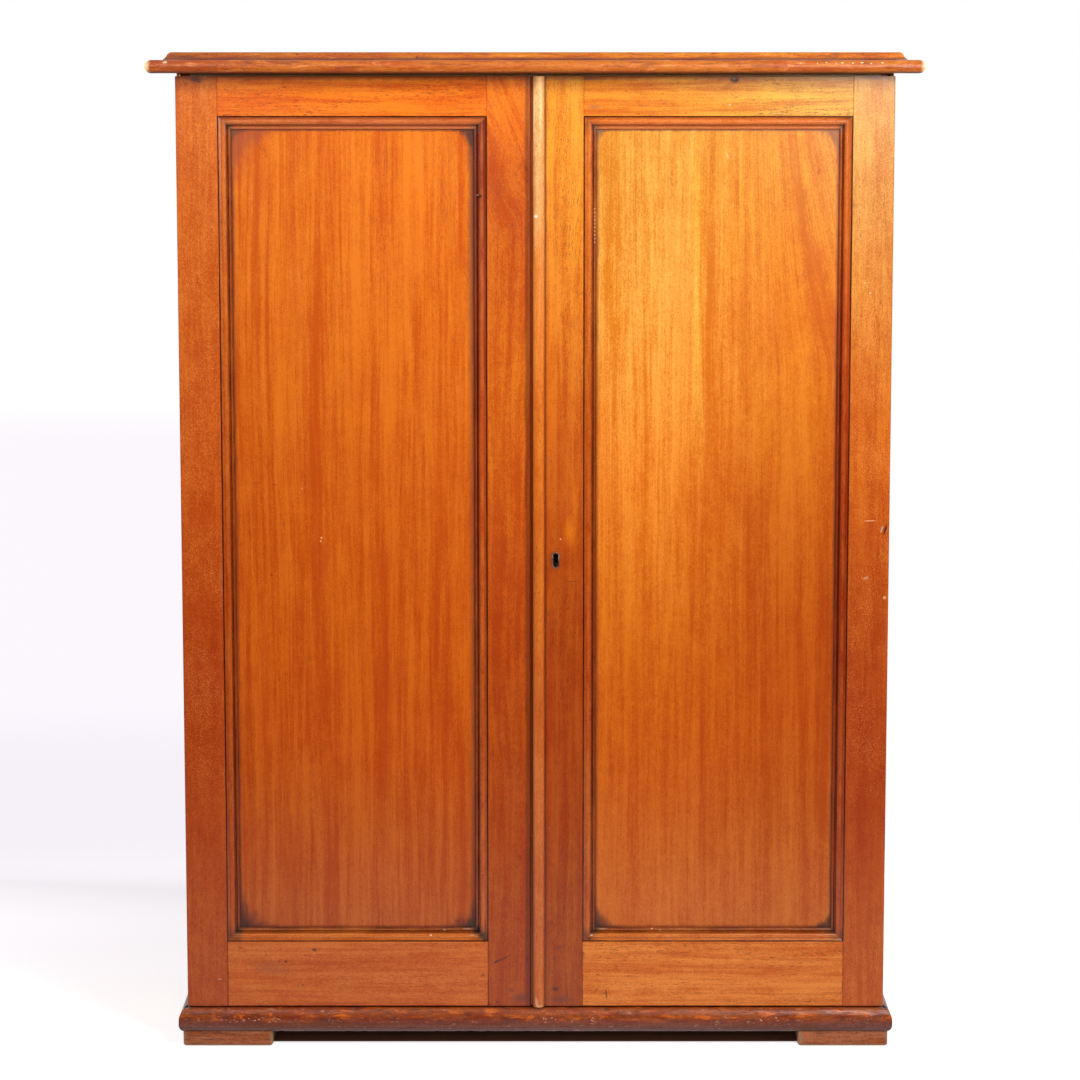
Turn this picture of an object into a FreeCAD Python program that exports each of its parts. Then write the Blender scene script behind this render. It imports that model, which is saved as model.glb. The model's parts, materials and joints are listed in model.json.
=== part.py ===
import FreeCAD, Part
import math
import os
from FreeCAD import Vector

# A tall two-door cupboard in polished wood, in millimetres.
# X runs to the right, Y to the back and Z up. The origin is the bottom centre of the whole.
# The doors lie over the whole front of the carcass, between an overhanging top and a moulded plinth.

# Carcass and its boards
carcass_width = 1040.0
carcass_depth = 409.0
side_thickness = 19.0
base_board_thickness = 19.0
rail_thickness = 19.0
top_rail_height = 47.0
back_rail_height = 60.0
stub_tenon_length = 10.0
stub_tenon_thickness = 9.0
stub_shoulder = 6.0
housing_depth = 6.0
joint_play = 0.2
board_lap_behind_doors = 14.0

# Back of vertical tongued boards
back_thickness = 12.0
back_rebate = 10.0
back_board_count = 4
back_foot_clearance = 3.0
tongue_length = 6.0
tongue_thickness = 4.0
board_gap = 0.6

# Shelves and the bearers that carry them
shelf_count = 3
shelf_thickness = 18.0
shelf_setback = 34.0
shelf_end_play = 0.5
shelf_nose = 3.0
bearer_width = 18.0
bearer_height = 22.0
bearer_inset = 14.0
bearer_slope = 6.0

# Feet
foot_height = 23.0
foot_width = 134.0
foot_depth = 96.0
foot_proud = 7.0
foot_corner_radius = 5.0
foot_arris = 2.5

# Plinth moulding
plinth_height = 34.5
plinth_proud = 13.0
plinth_heel_proud = 7.6
plinth_lip_proud = 6.2
plinth_lip_height = 1.8
plinth_lip_step = 1.0
plinth_belly_low = 10.5
plinth_belly_high = 16.5

# Top board with a full round edge, and the thinner moulded board on it
top_overhang = 39.5
top_back_overhang = 6.0
top_thickness = 19.5
top_nose_depth = 8.6
crown_proud = 15.0
crown_thickness = 11.0
crown_fillet = 1.0
crown_ogee_depth = 9.2
crown_ogee_bow = 0.6

# Doors
door_thickness = 24.0
door_height = 1379.0
door_gap_below = 2.5
door_gap_above = 4.0
door_gap_behind = 1.0
right_door_edge = -3.5
meeting_gap = 3.5
outer_stile_width = 60.0
opening_from_centre = 70.0
door_top_rail = 57.0
door_bottom_rail = 98.0
frame_arris = 0.6
door_edge_round = 1.6
meeting_edge_round = 2.4

# Joints of the door frames
groove_depth = 9.0
panel_in_groove = 8.0
panel_recess = 13.0
panel_thickness = 6.5
groove_play = 0.1
tenon_length = 40.0
tenon_haunch = 12.0
mortise_play = 0.2

# Mitred moulding round each panel, from the frame edge inwards
moulding_quirk_width = 1.4
moulding_quirk_level = 9.0
moulding_slope_level = 11.7
moulding_bead_centre = 8.4
moulding_bead_level = 7.4
moulding_bead_radius = 4.6
moulding_inner_level = 2.9
moulding_small_centre = 16.6
moulding_small_level = 1.6
moulding_small_radius = 2.6

# Round bead on the meeting edge of the right door
bead_width = 17.0
bead_side = 2.0

# Hidden hinges: a pin at the head and at the foot of each door, near its outer edge
hinge_inset = 5.0
leaf_length = 44.0
leaf_width = 8.0
leaf_thickness = 2.0
leaf_corner = 2.0
leaf_play = 0.1
pin_radius = 2.0
pin_play = 0.05
pin_reach = 10.0
pin_space = 0.4
collar_radius = 3.4
collar_play = 0.1

# Countersunk screws, and the small rods and holes that are drawn with flat sides as they are
screw_sides = 10
screw_head_radius = 3.1
screw_head_height = 1.7
screw_radius = 1.6
screw_length = 15.0
screw_play = 0.06
screw_sink = 0.1
hinge_screw_length = 10.0
hinge_screw_near = 14.0
hinge_screw_far = 36.0

# Keyhole and its lining
keyhole_from_centre = 30.0
keyhole_height = 739.5
keyhole_radius = 4.1
keyhole_slot = 3.6
keyhole_drop = 13.0
lining_wall = 1.6
lining_depth = 9.0
lining_proud = 0.3

# Lock let into the back of the right meeting stile
lock_width = 54.0
lock_height = 62.0
lock_above_key = 36.0
lock_thickness = 10.0
lock_play = 0.1
bolt_height = 14.0
bolt_thickness = 5.0
bolt_length = 44.0
bolt_above_key = 20.0
bolt_play = 0.25
bolt_throw = 10.0
bolt_inset = 0.5
talon_radius = 4.0
key_pocket_radius = 10.0
key_pocket_depth = 5.4
key_pin_radius = 1.2
lock_screw_inset = 6.0
lock_screw_length = 8.0

# Strike plate in the edge of the left door
strike_height = 46.0
strike_width = 11.0
strike_thickness = 1.5
strike_play = 0.1
strike_screw_inset = 7.0
strike_hole_play = 0.6
strike_mortise_spare = 4.0

# Sliding bolts on the back of the left meeting stile
slide_plate_width = 30.0
slide_plate_height = 120.0
slide_plate_thickness = 2.0
slide_plate_corner = 3.0
slide_from_centre = 38.5
slide_rod = 8.0
slide_rod_length = 128.0
slide_rod_standoff = 5.0
slide_guide_width = 16.0
slide_guide_height = 14.0
slide_guide_wall = 2.5
slide_guide_inset = 10.0
slide_play = 0.25
slide_throw = 13.0
slide_end_gap = 2.0
slide_tip_ease = 1.5
slide_knob_radius = 4.0
slide_knob_length = 10.0
slide_screw_inset = 6.0
slide_screw_length = 10.0
keeper_thickness = 1.5
keeper_width = 26.0
keeper_depth = 15.0
keeper_hole_play = 0.5
keeper_hole_spare = 3.0

# One overrun serves every cut
overrun = 1.0

# Places worked out from the sizes
half_width = carcass_width / 2
total_depth = top_overhang + door_thickness + door_gap_behind + carcass_depth + top_back_overhang
top_front = -total_depth / 2
top_back = total_depth / 2
door_face = top_front + top_overhang
door_back = door_face + door_thickness
carcass_front = door_back + door_gap_behind
carcass_back = carcass_front + carcass_depth
back_plane = carcass_back - back_thickness

plinth_top = foot_height + plinth_height
door_low = plinth_top + door_gap_below
door_high = door_low + door_height
carcass_top = door_high + door_gap_above
board_top = carcass_top + top_thickness
opening_low = door_low + door_bottom_rail
opening_high = door_high - door_top_rail
opening_outer = half_width - outer_stile_width

floor_top = door_low + board_lap_behind_doors
floor_low = floor_top - base_board_thickness
inner_half = half_width - side_thickness
top_rail_low = carcass_top - top_rail_height
back_rail_low = carcass_top - back_rail_height

panel_face = door_face + panel_recess
panel_back = panel_face + panel_thickness
groove_front = panel_face - groove_play
groove_back = panel_back + groove_play

hinge_axis_x = half_width - hinge_inset
hinge_axis_y = door_back - door_thickness / 2
lock_plane = door_back - lock_thickness / 2
bolt_level = keyhole_height + bolt_above_key
slide_rod_front = door_back + slide_rod_standoff
slide_rod_back = slide_rod_front + slide_rod
slide_axis_y = (slide_rod_front + slide_rod_back) / 2
keeper_hole_depth = slide_throw - slide_end_gap + keeper_hole_spare
strike_mortise = bolt_throw - bolt_inset - meeting_gap + strike_mortise_spare


def block(x_one, x_two, y_one, y_two, z_one, z_two):
    """A rectangular solid between two corners, given in any order."""
    low = Vector(min(x_one, x_two), min(y_one, y_two), min(z_one, z_two))
    size = Vector(abs(x_two - x_one), abs(y_two - y_one), abs(z_two - z_one))
    return Part.makeBox(size.x, size.y, size.z, low)


def rod(radius, start, run):
    """A round bar from a point along a vector."""
    return Part.makeCylinder(radius, run.Length, start, run)


def wire(start, steps):
    """A closed wire: a step of one point is a straight run, a step of two is an arc."""
    edges = []
    here = start
    for step in steps:
        if len(step) == 1:
            edges.append(Part.LineSegment(here, step[0]).toShape())
        else:
            edges.append(Part.Arc(here, step[0], step[1]).toShape())
        here = step[-1]
    return Part.Wire(edges)


def flat_face(points):
    """A flat face between its corners."""
    return Part.Face(wire(points[0], [[point] for point in points[1:] + points[:1]]))


def prism(start, steps, run):
    """The closed outline carried along a vector."""
    return Part.Face(wire(start, steps)).extrude(run)


def outline_prism(points, run):
    """A prism over straight runs between points."""
    steps = [[point] for point in points[1:]] + [[points[0]]]
    return prism(points[0], steps, run)


def placed(origin, across, up):
    """A function that puts an outline's own two measures into space."""
    return lambda u, v: origin + across * u + up * v


def edged(origin, inward, up, run, far, steps_of):
    """A length whose outer edge is moulded: steps_of gives the moulded steps from the bottom up."""
    put = placed(origin, inward, up)
    start, steps, top = steps_of(put)
    closing = [[put(far, top)], [put(far, 0)], [start]]
    return prism(start, steps + closing, run)


def turned_point(put, centre_u, centre_v, radius, degrees):
    """The point on a circle of the outline at an angle."""
    turn = math.radians(degrees)
    return put(centre_u + radius * math.cos(turn), centre_v + radius * math.sin(turn))


def belly_middle(belly_u, belly_v, end_u, end_v):
    """The middle of the arc that leaves a belly straight up or down and ends inwards of it."""
    in_by = end_u - belly_u
    along = end_v - belly_v
    radius = (in_by * in_by + along * along) / (2 * in_by)
    turn = math.asin(along / radius)
    return belly_u + radius * (1 - math.cos(turn / 2)), belly_v + radius * math.sin(turn / 2)


def edges_near(shape, test):
    """The edges whose middle passes a test."""
    found = []
    for edge in shape.Edges:
        middle = edge.valueAt((edge.FirstParameter + edge.LastParameter) / 2)
        if test(middle):
            found.append(edge)
    return found


def at(value, place):
    """True where a measure lies on a plane."""
    return abs(value - place) < overrun / 100


def ring(place, direction, radius):
    """The corners of a flat-sided ring round an axis that runs along X, Y or Z."""
    across = Vector(direction.y, direction.z, direction.x)
    put = placed(place, across, direction.cross(across))
    return [turned_point(put, 0, 0, radius, 360 * k / screw_sides) for k in range(screw_sides)]


def flat_sided_rod(radius, place, direction, length):
    """A thin bar with a few flat sides in place of a round one."""
    return outline_prism(ring(place, direction, radius), direction * length)


def flat_sided_cone(radius, end_radius, place, direction, length):
    """A short taper with a few flat sides."""
    near = ring(place, direction, radius)
    far = ring(place + direction * length, direction, end_radius)
    outlines = [near, far]
    for k in range(screw_sides):
        outlines.append([near[k - 1], near[k], far[k], far[k - 1]])
    solid = Part.Solid(Part.Shell([flat_face(outline) for outline in outlines]))
    if solid.Volume < 0:
        solid.reverse()
    return solid


def screw(place, direction, length):
    """A countersunk screw whose head lies at a place and whose shank runs along a direction."""
    head = flat_sided_cone(screw_head_radius, screw_radius, place, direction, screw_head_height)
    neck = place + direction * screw_head_height
    shank = flat_sided_rod(screw_radius, neck, direction, length - screw_head_height)
    return head.fuse(shank).removeSplitter()


def screw_hole(place, direction, length, sunk):
    """The hole that a screw fits with play: with sunk, the head's seat too."""
    mouth_place = place - direction * overrun
    bore = flat_sided_rod(screw_radius + screw_play, mouth_place, direction, length + 2 * overrun)
    if not sunk:
        return bore
    head_room = screw_head_radius + screw_play
    seat = flat_sided_cone(head_room, screw_radius + screw_play, place, direction, screw_head_height)
    mouth = flat_sided_rod(head_room, mouth_place, direction, overrun)
    return bore.fuse([seat, mouth])


def side_board(side):
    """One side of the carcass: rebated for the back, housed for the floor and mortised for the rails."""
    board = block(
        side * inner_half, side * half_width, carcass_front, carcass_back, foot_height, carcass_top
    )
    cuts = [
        block(
            side * (inner_half - overrun),
            side * (inner_half + back_rebate),
            back_plane,
            carcass_back + overrun,
            foot_height - overrun,
            carcass_top + overrun,
        ),
        block(
            side * (inner_half - overrun),
            side * (inner_half + housing_depth + joint_play),
            carcass_front - overrun,
            back_plane,
            floor_low,
            floor_top,
        ),
    ]
    for low, high, front in rail_places():
        cuts.append(stub(side, low, high, front, joint_play))
    return board.cut(cuts)


def rail_places():
    """Each rail between the sides: its bottom, its top and its front face."""
    return [
        (top_rail_low, carcass_top, carcass_front),
        (back_rail_low, carcass_top, back_plane - rail_thickness),
        (foot_height, floor_low, carcass_front),
        (foot_height, floor_low, back_plane - rail_thickness),
    ]


def stub(side, low, high, front, play):
    """The stub tenon on a rail's end, or with play the mortise for it."""
    middle = front + rail_thickness / 2
    half = stub_tenon_thickness / 2 + play / 2
    return block(
        side * (inner_half - play),
        side * (inner_half + stub_tenon_length + play),
        middle - half,
        middle + half,
        low + stub_shoulder - play,
        high - stub_shoulder + play,
    )


def rail(low, high, front):
    """A rail between the sides with a stub tenon on each end."""
    board = block(-inner_half, inner_half, front, front + rail_thickness, low, high)
    return board.fuse([stub(side, low, high, front, 0) for side in (-1, 1)]).removeSplitter()


def slide_hole(low, high):
    """The square hole that a sliding bolt shoots into."""
    half = slide_rod / 2 + keeper_hole_play
    return block(
        -slide_from_centre - half,
        -slide_from_centre + half,
        slide_axis_y - half,
        slide_axis_y + half,
        low,
        high,
    )


def keeper(low, high, play):
    """The plate round a sliding bolt's hole, or with play the recess for it."""
    return block(
        -slide_from_centre - keeper_width / 2 - play,
        -slide_from_centre + keeper_width / 2 + play,
        slide_axis_y - keeper_depth / 2 - play,
        slide_axis_y + keeper_depth / 2 + play,
        low,
        high,
    )


def top_rail_front():
    """The rail behind the heads of the doors, with the hole for the upper sliding bolt."""
    low, high, front = rail_places()[0]
    board = rail(low, high, front)
    recess = keeper(low - overrun, low + keeper_thickness, joint_play)
    return board.cut([recess, slide_hole(low - overrun, low + keeper_hole_depth)])


def floor_board():
    """The floor of the cupboard, housed in both sides, with the lower bolt's hole."""
    reach = inner_half + housing_depth
    board = block(-reach, reach, carcass_front, back_plane, floor_low, floor_top)
    recess = keeper(floor_top - keeper_thickness, floor_top + overrun, joint_play)
    return board.cut([recess, slide_hole(floor_top - keeper_hole_depth, floor_top + overrun)])


def bolt_keepers():
    """The two plates that the sliding bolts shoot through."""
    upper = keeper(top_rail_low, top_rail_low + keeper_thickness, 0)
    lower = keeper(floor_top - keeper_thickness, floor_top, 0)
    return [
        upper.cut(slide_hole(top_rail_low - overrun, top_rail_low + keeper_hole_depth)),
        lower.cut(slide_hole(floor_top - keeper_hole_depth, floor_top + overrun)),
    ]


def round_edge(put):
    """A round nose over the whole height of the top board."""
    start = put(top_nose_depth, 0)
    steps = [[put(0, top_thickness / 2), put(top_nose_depth, top_thickness)]]
    return start, steps, top_thickness


def crown_edge(put):
    """A small fillet and a slope above it, hollow in its lower half and round in its upper half."""
    rise = crown_thickness - crown_fillet
    slope = math.hypot(crown_ogee_depth, rise)
    bow_in = crown_ogee_bow * rise / slope
    bow_up = crown_ogee_bow * crown_ogee_depth / slope
    hollow = put(crown_ogee_depth / 4 + bow_in, crown_fillet + rise / 4 - bow_up)
    middle = put(crown_ogee_depth / 2, crown_fillet + rise / 2)
    swell = put(crown_ogee_depth * 3 / 4 - bow_in, crown_thickness - rise / 4 + bow_up)
    start = put(0, 0)
    steps = [
        [put(0, crown_fillet)],
        [hollow, middle],
        [swell, put(crown_ogee_depth, crown_thickness)],
    ]
    return start, steps, crown_thickness


def plinth_edge(put):
    """A belly that turns in tightly below and slopes back above to a small lip."""
    heel = plinth_proud - plinth_heel_proud
    lip = plinth_proud - plinth_lip_proud
    shoulder = plinth_height - plinth_lip_height
    shoulder_in = lip - plinth_lip_step
    below = belly_middle(0, plinth_belly_low, heel, 0)
    above = belly_middle(0, plinth_belly_high, shoulder_in, shoulder)
    start = put(heel, 0)
    steps = [
        [put(*below), put(0, plinth_belly_low)],
        [put(0, plinth_belly_high)],
        [put(*above), put(shoulder_in, shoulder)],
        [put(lip, shoulder)],
        [put(lip, plinth_height)],
    ]
    return start, steps, plinth_height


def edge_waste(origin, inward, run, edge):
    """What a moulding cutter takes off along one edge of a board, past its faces and ends."""
    put = placed(origin, inward, Vector(0, 0, 1))
    start, steps, top = edge(put)
    past = Vector(0, 0, overrun)
    closing = [
        [steps[-1][-1] + past],
        [put(-2 * overrun, top + overrun)],
        [put(-2 * overrun, -overrun)],
        [start - past],
    ]
    return prism(start - past, [[start]] + steps + closing, run)


def edged_board(proud, low, thickness, edge):
    """A board with its edge moulded on the front and both ends, so that the corners are mitred."""
    half = half_width + proud
    front = door_face - proud
    along = Vector(2 * (half + overrun), 0, 0)
    deep = Vector(0, top_back - front + 2 * overrun, 0)
    board = block(-half - overrun, half + overrun, front - overrun, top_back, low, low + thickness)
    board = board.cut(edge_waste(Vector(-half - overrun, front, low), Vector(0, 1, 0), along, edge))
    board = board.cut(edge_waste(Vector(-half, front - overrun, low), Vector(1, 0, 0), deep, edge))
    return board.cut(edge_waste(Vector(half, front - overrun, low), Vector(-1, 0, 0), deep, edge))


def plan(points, low, high):
    """A prism over a plan outline of (x, y) points."""
    corners = [Vector(x, y, low) for x, y in points]
    return outline_prism(corners, Vector(0, 0, high - low))


def plinth_front():
    """The front length of the plinth, mitred where it stands proud of the sides."""
    outer = half_width + plinth_proud
    front = door_face - plinth_proud
    length = edged(
        Vector(-outer, front, foot_height),
        Vector(0, 1, 0),
        Vector(0, 0, 1),
        Vector(2 * outer, 0, 0),
        carcass_front - front,
        plinth_edge,
    )
    outline = [
        (-outer, front),
        (outer, front),
        (half_width, door_face),
        (half_width, carcass_front),
        (-half_width, carcass_front),
        (-half_width, door_face),
    ]
    return length.common(plan(outline, foot_height - overrun, plinth_top + overrun))


def plinth_side(side):
    """A side length of the plinth, mitred at the front."""
    outer = half_width + plinth_proud
    front = door_face - plinth_proud
    length = edged(
        Vector(side * outer, front, foot_height),
        Vector(-side, 0, 0),
        Vector(0, 0, 1),
        Vector(0, carcass_back - front, 0),
        plinth_proud,
        plinth_edge,
    )
    outline = [
        (side * outer, front),
        (side * half_width, door_face),
        (side * half_width, carcass_back),
        (side * outer, carcass_back),
    ]
    return length.common(plan(outline, foot_height - overrun, plinth_top + overrun))


def foot(side, at_front):
    """A low block under a corner of the carcass, its lower edge eased, its front corners worn round."""
    outer = half_width + foot_proud
    front = door_face - foot_proud if at_front else carcass_back - foot_depth
    body = block(side * (outer - foot_width), side * outer, front, front + foot_depth, 0, foot_height)
    if at_front:
        upright = edges_near(body, lambda p: at(p.y, front) and 0 < p.z < foot_height)
        upright = [edge for edge in upright if edge.Length < foot_width / 2]
        body = body.makeFillet(foot_corner_radius, upright)
    return body.makeChamfer(foot_arris, edges_near(body, lambda p: at(p.z, 0)))


def back_board(index):
    """One upright board of the back, with a tongue on its right edge and a groove in its left."""
    reach = inner_half + back_rebate
    pitch = 2 * reach / back_board_count
    left = -reach + index * pitch + (board_gap / 2 if index else 0)
    last = index == back_board_count - 1
    right = -reach + (index + 1) * pitch - (0 if last else board_gap / 2)
    low = foot_height + back_foot_clearance
    board = block(left, right, back_plane, carcass_back, low, carcass_top)
    tongue_front = back_plane + (back_thickness - tongue_thickness) / 2
    tongue_back = tongue_front + tongue_thickness
    if not last:
        tongue = block(right, right + tongue_length, tongue_front, tongue_back, low, carcass_top)
        board = board.fuse(tongue).removeSplitter()
    if index:
        groove = block(
            left - overrun,
            left + tongue_length - board_gap + joint_play,
            tongue_front - joint_play,
            tongue_back + joint_play,
            low - overrun,
            carcass_top + overrun,
        )
        board = board.cut(groove)
    return board


def shelf_level(index):
    """The underside of a shelf: the shelves part the inside into equal heights."""
    space = carcass_top - floor_top - shelf_count * shelf_thickness
    return floor_top + (index + 1) * space / (shelf_count + 1) + index * shelf_thickness


def shelf(index):
    """A shelf with a rounded front edge, resting on its bearers."""
    low = shelf_level(index)
    reach = inner_half - shelf_end_play
    front = carcass_front + shelf_setback
    board = block(-reach, reach, front, back_plane, low, low + shelf_thickness)
    return board.makeFillet(shelf_nose, edges_near(board, lambda p: at(p.y, front) and at(p.x, 0)))


def bearer(side, index):
    """A batten that carries one end of a shelf, its front end cut to a slope."""
    top = shelf_level(index)
    front = carcass_front + shelf_setback + bearer_inset
    corners = [
        Vector(side * (inner_half - bearer_width), front, top),
        Vector(side * (inner_half - bearer_width), back_plane, top),
        Vector(side * (inner_half - bearer_width), back_plane, top - bearer_height),
        Vector(side * (inner_half - bearer_width), front + bearer_slope, top - bearer_height),
        Vector(side * (inner_half - bearer_width), front, top - bearer_height + bearer_slope),
    ]
    return outline_prism(corners, Vector(side * bearer_width, 0, 0))


def hinge_ends():
    """Each end of a door's axis: the door's edge, the fixed face beyond it and the way between them."""
    return [(door_high, carcass_top, 1), (door_low, plinth_top, -1)]


def leaf_plate(side, face, into, grow):
    """A hinge leaf let into a level face, its corners cut off at the pin, or grown, the recess for it."""
    half = leaf_width / 2 + grow
    end = hinge_axis_x + half
    inner = hinge_axis_x - leaf_length - grow
    outline = [
        (inner, -half),
        (end - leaf_corner, -half),
        (end, leaf_corner - half),
        (end, half - leaf_corner),
        (end - leaf_corner, half),
        (inner, half),
    ]
    corners = [Vector(side * x, hinge_axis_y + y, face) for x, y in outline]
    return outline_prism(corners, Vector(0, 0, into * (leaf_thickness + grow)))


def hinge_screw_places(side, face, into):
    """The head of each screw in a leaf."""
    return [
        Vector(side * (hinge_axis_x - inwards), hinge_axis_y, face + into * screw_sink)
        for inwards in (hinge_screw_near, hinge_screw_far)
    ]


def hinge_leaf(side, face, into):
    """One leaf: a strip with the pin's hole and two countersunk screw holes."""
    foot_of_bore = Vector(side * hinge_axis_x, hinge_axis_y, face - into * overrun)
    bore = rod(pin_radius + pin_play, foot_of_bore, Vector(0, 0, into * (leaf_thickness + 2 * overrun)))
    holes = [
        screw_hole(place, Vector(0, 0, into), leaf_thickness, True)
        for place in hinge_screw_places(side, face, into)
    ]
    return leaf_plate(side, face, into, 0).cut([bore] + holes)


def leaf_cuts(side, face, into):
    """What a leaf, its pin and its screws need in the wood."""
    foot_of_bore = Vector(side * hinge_axis_x, hinge_axis_y, face)
    along = Vector(0, 0, into)
    bore = flat_sided_rod(pin_radius + pin_space, foot_of_bore, along, pin_reach + pin_space)
    cuts = [leaf_plate(side, face, into, leaf_play), bore]
    for place in hinge_screw_places(side, face, into):
        cuts.append(screw_hole(place, along, hinge_screw_length, False))
    return cuts


def fixed_leaf_cuts(way):
    """The cuts for the fixed leaves of both doors, in the board above or in the plinth below."""
    cuts = []
    for side in (-1, 1):
        for edge, fixed, end_way in hinge_ends():
            if end_way == way:
                cuts += leaf_cuts(side, fixed, way)
    return cuts


def hinge_pin(side, end):
    """A pin with the collar that keeps the two leaves apart."""
    edge, fixed, way = end
    tail = Vector(side * hinge_axis_x, hinge_axis_y, fixed + way * pin_reach)
    shaft = rod(pin_radius, tail, Vector(0, 0, edge - fixed - 2 * way * pin_reach))
    root = Vector(side * hinge_axis_x, hinge_axis_y, fixed)
    collar = flat_sided_rod(collar_radius, root, Vector(0, 0, -way), abs(edge - fixed) - collar_play)
    return shaft.fuse(collar).removeSplitter()


def door_leaf_screws(side):
    """The screws of a door's own leaves."""
    return [
        screw(place, Vector(0, 0, -way), hinge_screw_length)
        for edge, fixed, way in hinge_ends()
        for place in hinge_screw_places(side, edge, -way)
    ]


def fixed_leaf_screws(side):
    """The screws of the leaves above and below a door."""
    return [
        screw(place, Vector(0, 0, way), hinge_screw_length)
        for edge, fixed, way in hinge_ends()
        for place in hinge_screw_places(side, fixed, way)
    ]


def meeting_edge(side):
    """How far a door's free edge lies from the centre, counted towards its hinges."""
    if side > 0:
        return right_door_edge
    return meeting_gap - right_door_edge


def eased_stile(side, inner, outer, outer_round):
    """A full-height stile, eased along the panel's side of its face and rounded along the other."""
    stile = block(side * inner, side * outer, door_face, door_back, door_low, door_high)
    stile = stile.makeChamfer(frame_arris, upright_edge(stile, side * inner, door_face))
    return stile.makeFillet(outer_round, upright_edge(stile, side * outer, door_face))


def upright_edge(shape, x, y):
    """The edge of a stile that stands at a place in plan."""
    return edges_near(shape, lambda p: at(p.x, x) and at(p.y, y) and door_low < p.z < door_high)


def tenon_levels():
    """The bottom and top of the tenons on the top rail and on the bottom rail."""
    return [
        (opening_high + groove_depth, door_high - tenon_haunch),
        (door_low + tenon_haunch, opening_low - groove_depth),
    ]


def stile_cuts(side, shoulder, way):
    """The groove and the mortises in a stile whose inner edge is the shoulder."""
    cuts = [
        block(
            side * (shoulder - way * overrun),
            side * (shoulder + way * groove_depth),
            groove_front,
            groove_back,
            opening_low - groove_depth,
            opening_high + groove_depth,
        )
    ]
    for low, high in tenon_levels():
        cuts.append(
            block(
                side * (shoulder - way * overrun),
                side * (shoulder + way * (tenon_length + mortise_play)),
                groove_front - groove_play,
                groove_back + groove_play,
                low - mortise_play,
                high + mortise_play,
            )
        )
    return cuts


def hinge_stile(side):
    """The stile that carries the hinges, rounded at the back too, where it turns past the carcass."""
    stile = eased_stile(side, opening_outer, half_width, door_edge_round)
    stile = stile.makeFillet(door_edge_round, upright_edge(stile, side * half_width, door_back))
    cuts = stile_cuts(side, opening_outer, 1)
    for edge, fixed, way in hinge_ends():
        cuts += leaf_cuts(side, edge, -way)
    return stile.cut(cuts)


def keyhole(grow, front, back):
    """The keyhole's outline, grown evenly, as a solid from front to back."""
    centre = Vector(keyhole_from_centre, front, keyhole_height)
    run = Vector(0, back - front, 0)
    slot = keyhole_slot + grow
    end = centre - Vector(0, 0, keyhole_drop)
    shank = block(
        keyhole_from_centre - slot,
        keyhole_from_centre + slot,
        front,
        back,
        keyhole_height,
        keyhole_height - keyhole_drop,
    )
    return rod(keyhole_radius + grow, centre, run).fuse([shank, rod(slot, end, run)]).removeSplitter()


def lining():
    """The metal lining of the keyhole, let in almost flush."""
    front = door_face - lining_proud
    back = door_face + lining_depth
    return keyhole(lining_wall, front, back).cut(keyhole(0, front - overrun, back + overrun))


def lock_box(play, depth_play):
    """The outer block of the lock, or with play the recess for it."""
    low = keyhole_height + lock_above_key - lock_height
    return block(
        right_door_edge,
        right_door_edge + lock_width + play,
        door_back - lock_thickness - depth_play,
        door_back,
        low - play,
        low + lock_height + play,
    )


def lock_screw_places():
    """The head of each screw through the back of the lock."""
    x = right_door_edge + lock_width - lock_screw_inset
    low = keyhole_height + lock_above_key - lock_height
    return [
        Vector(x, door_back - screw_sink, low + lock_screw_inset),
        Vector(x, door_back - screw_sink, low + lock_height - lock_screw_inset),
    ]


def bolt_bar(grow, x_low, x_high):
    """The bar of the lock's bolt, grown evenly round its run."""
    return block(
        x_low,
        x_high,
        lock_plane - bolt_thickness / 2 - grow,
        lock_plane + bolt_thickness / 2 + grow,
        bolt_level - bolt_height / 2 - grow,
        bolt_level + bolt_height / 2 + grow,
    )


def lock_case():
    """The lock's case with the bolt's channel, the pocket for the key's bit and the key pin."""
    x_low = right_door_edge
    channel = bolt_bar(bolt_play, x_low - overrun, x_low + bolt_inset + bolt_length + bolt_play)
    front = door_back - lock_thickness
    pocket_back = lock_plane + key_pocket_depth / 2
    pocket = rod(
        key_pocket_radius,
        Vector(keyhole_from_centre, front - overrun, keyhole_height),
        Vector(0, pocket_back - front + overrun, 0),
    )
    pin_root = Vector(keyhole_from_centre, front, keyhole_height)
    pin = flat_sided_rod(key_pin_radius, pin_root, Vector(0, 1, 0), pocket_back - front)
    case = lock_box(0, 0).cut([channel, pocket])
    case = case.fuse(pin)
    holes = [
        screw_hole(place, Vector(0, -1, 0), lock_thickness, True) for place in lock_screw_places()
    ]
    return case.cut(holes)


def lock_bolt():
    """The bolt, drawn back flush, with the notch that the key's bit turns in."""
    x_low = right_door_edge + bolt_inset
    bar = bolt_bar(0, x_low, x_low + bolt_length)
    notch = rod(
        talon_radius,
        Vector(keyhole_from_centre, lock_plane - bolt_thickness, bolt_level - bolt_height / 2),
        Vector(0, 2 * bolt_thickness, 0),
    )
    return bar.cut(notch)


def right_meeting_stile():
    """The stile with the keyhole, the lock's recess and no bolts."""
    inner = meeting_edge(1)
    stile = eased_stile(1, opening_from_centre, inner, frame_arris)
    cuts = stile_cuts(1, opening_from_centre, -1)
    cuts.append(keyhole(lining_wall + screw_play, door_face - overrun, door_face + lining_depth))
    cuts.append(keyhole(0, door_face, door_back))
    recess = lock_box(lock_play, lock_play)
    cuts.append(recess)
    cuts.append(recess.translated(Vector(-overrun, 0, 0)))
    cuts.append(recess.translated(Vector(0, overrun, 0)))
    for place in lock_screw_places():
        cuts.append(screw_hole(place, Vector(0, -1, 0), lock_thickness + lock_screw_length, False))
    return stile.cut(cuts)


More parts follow.
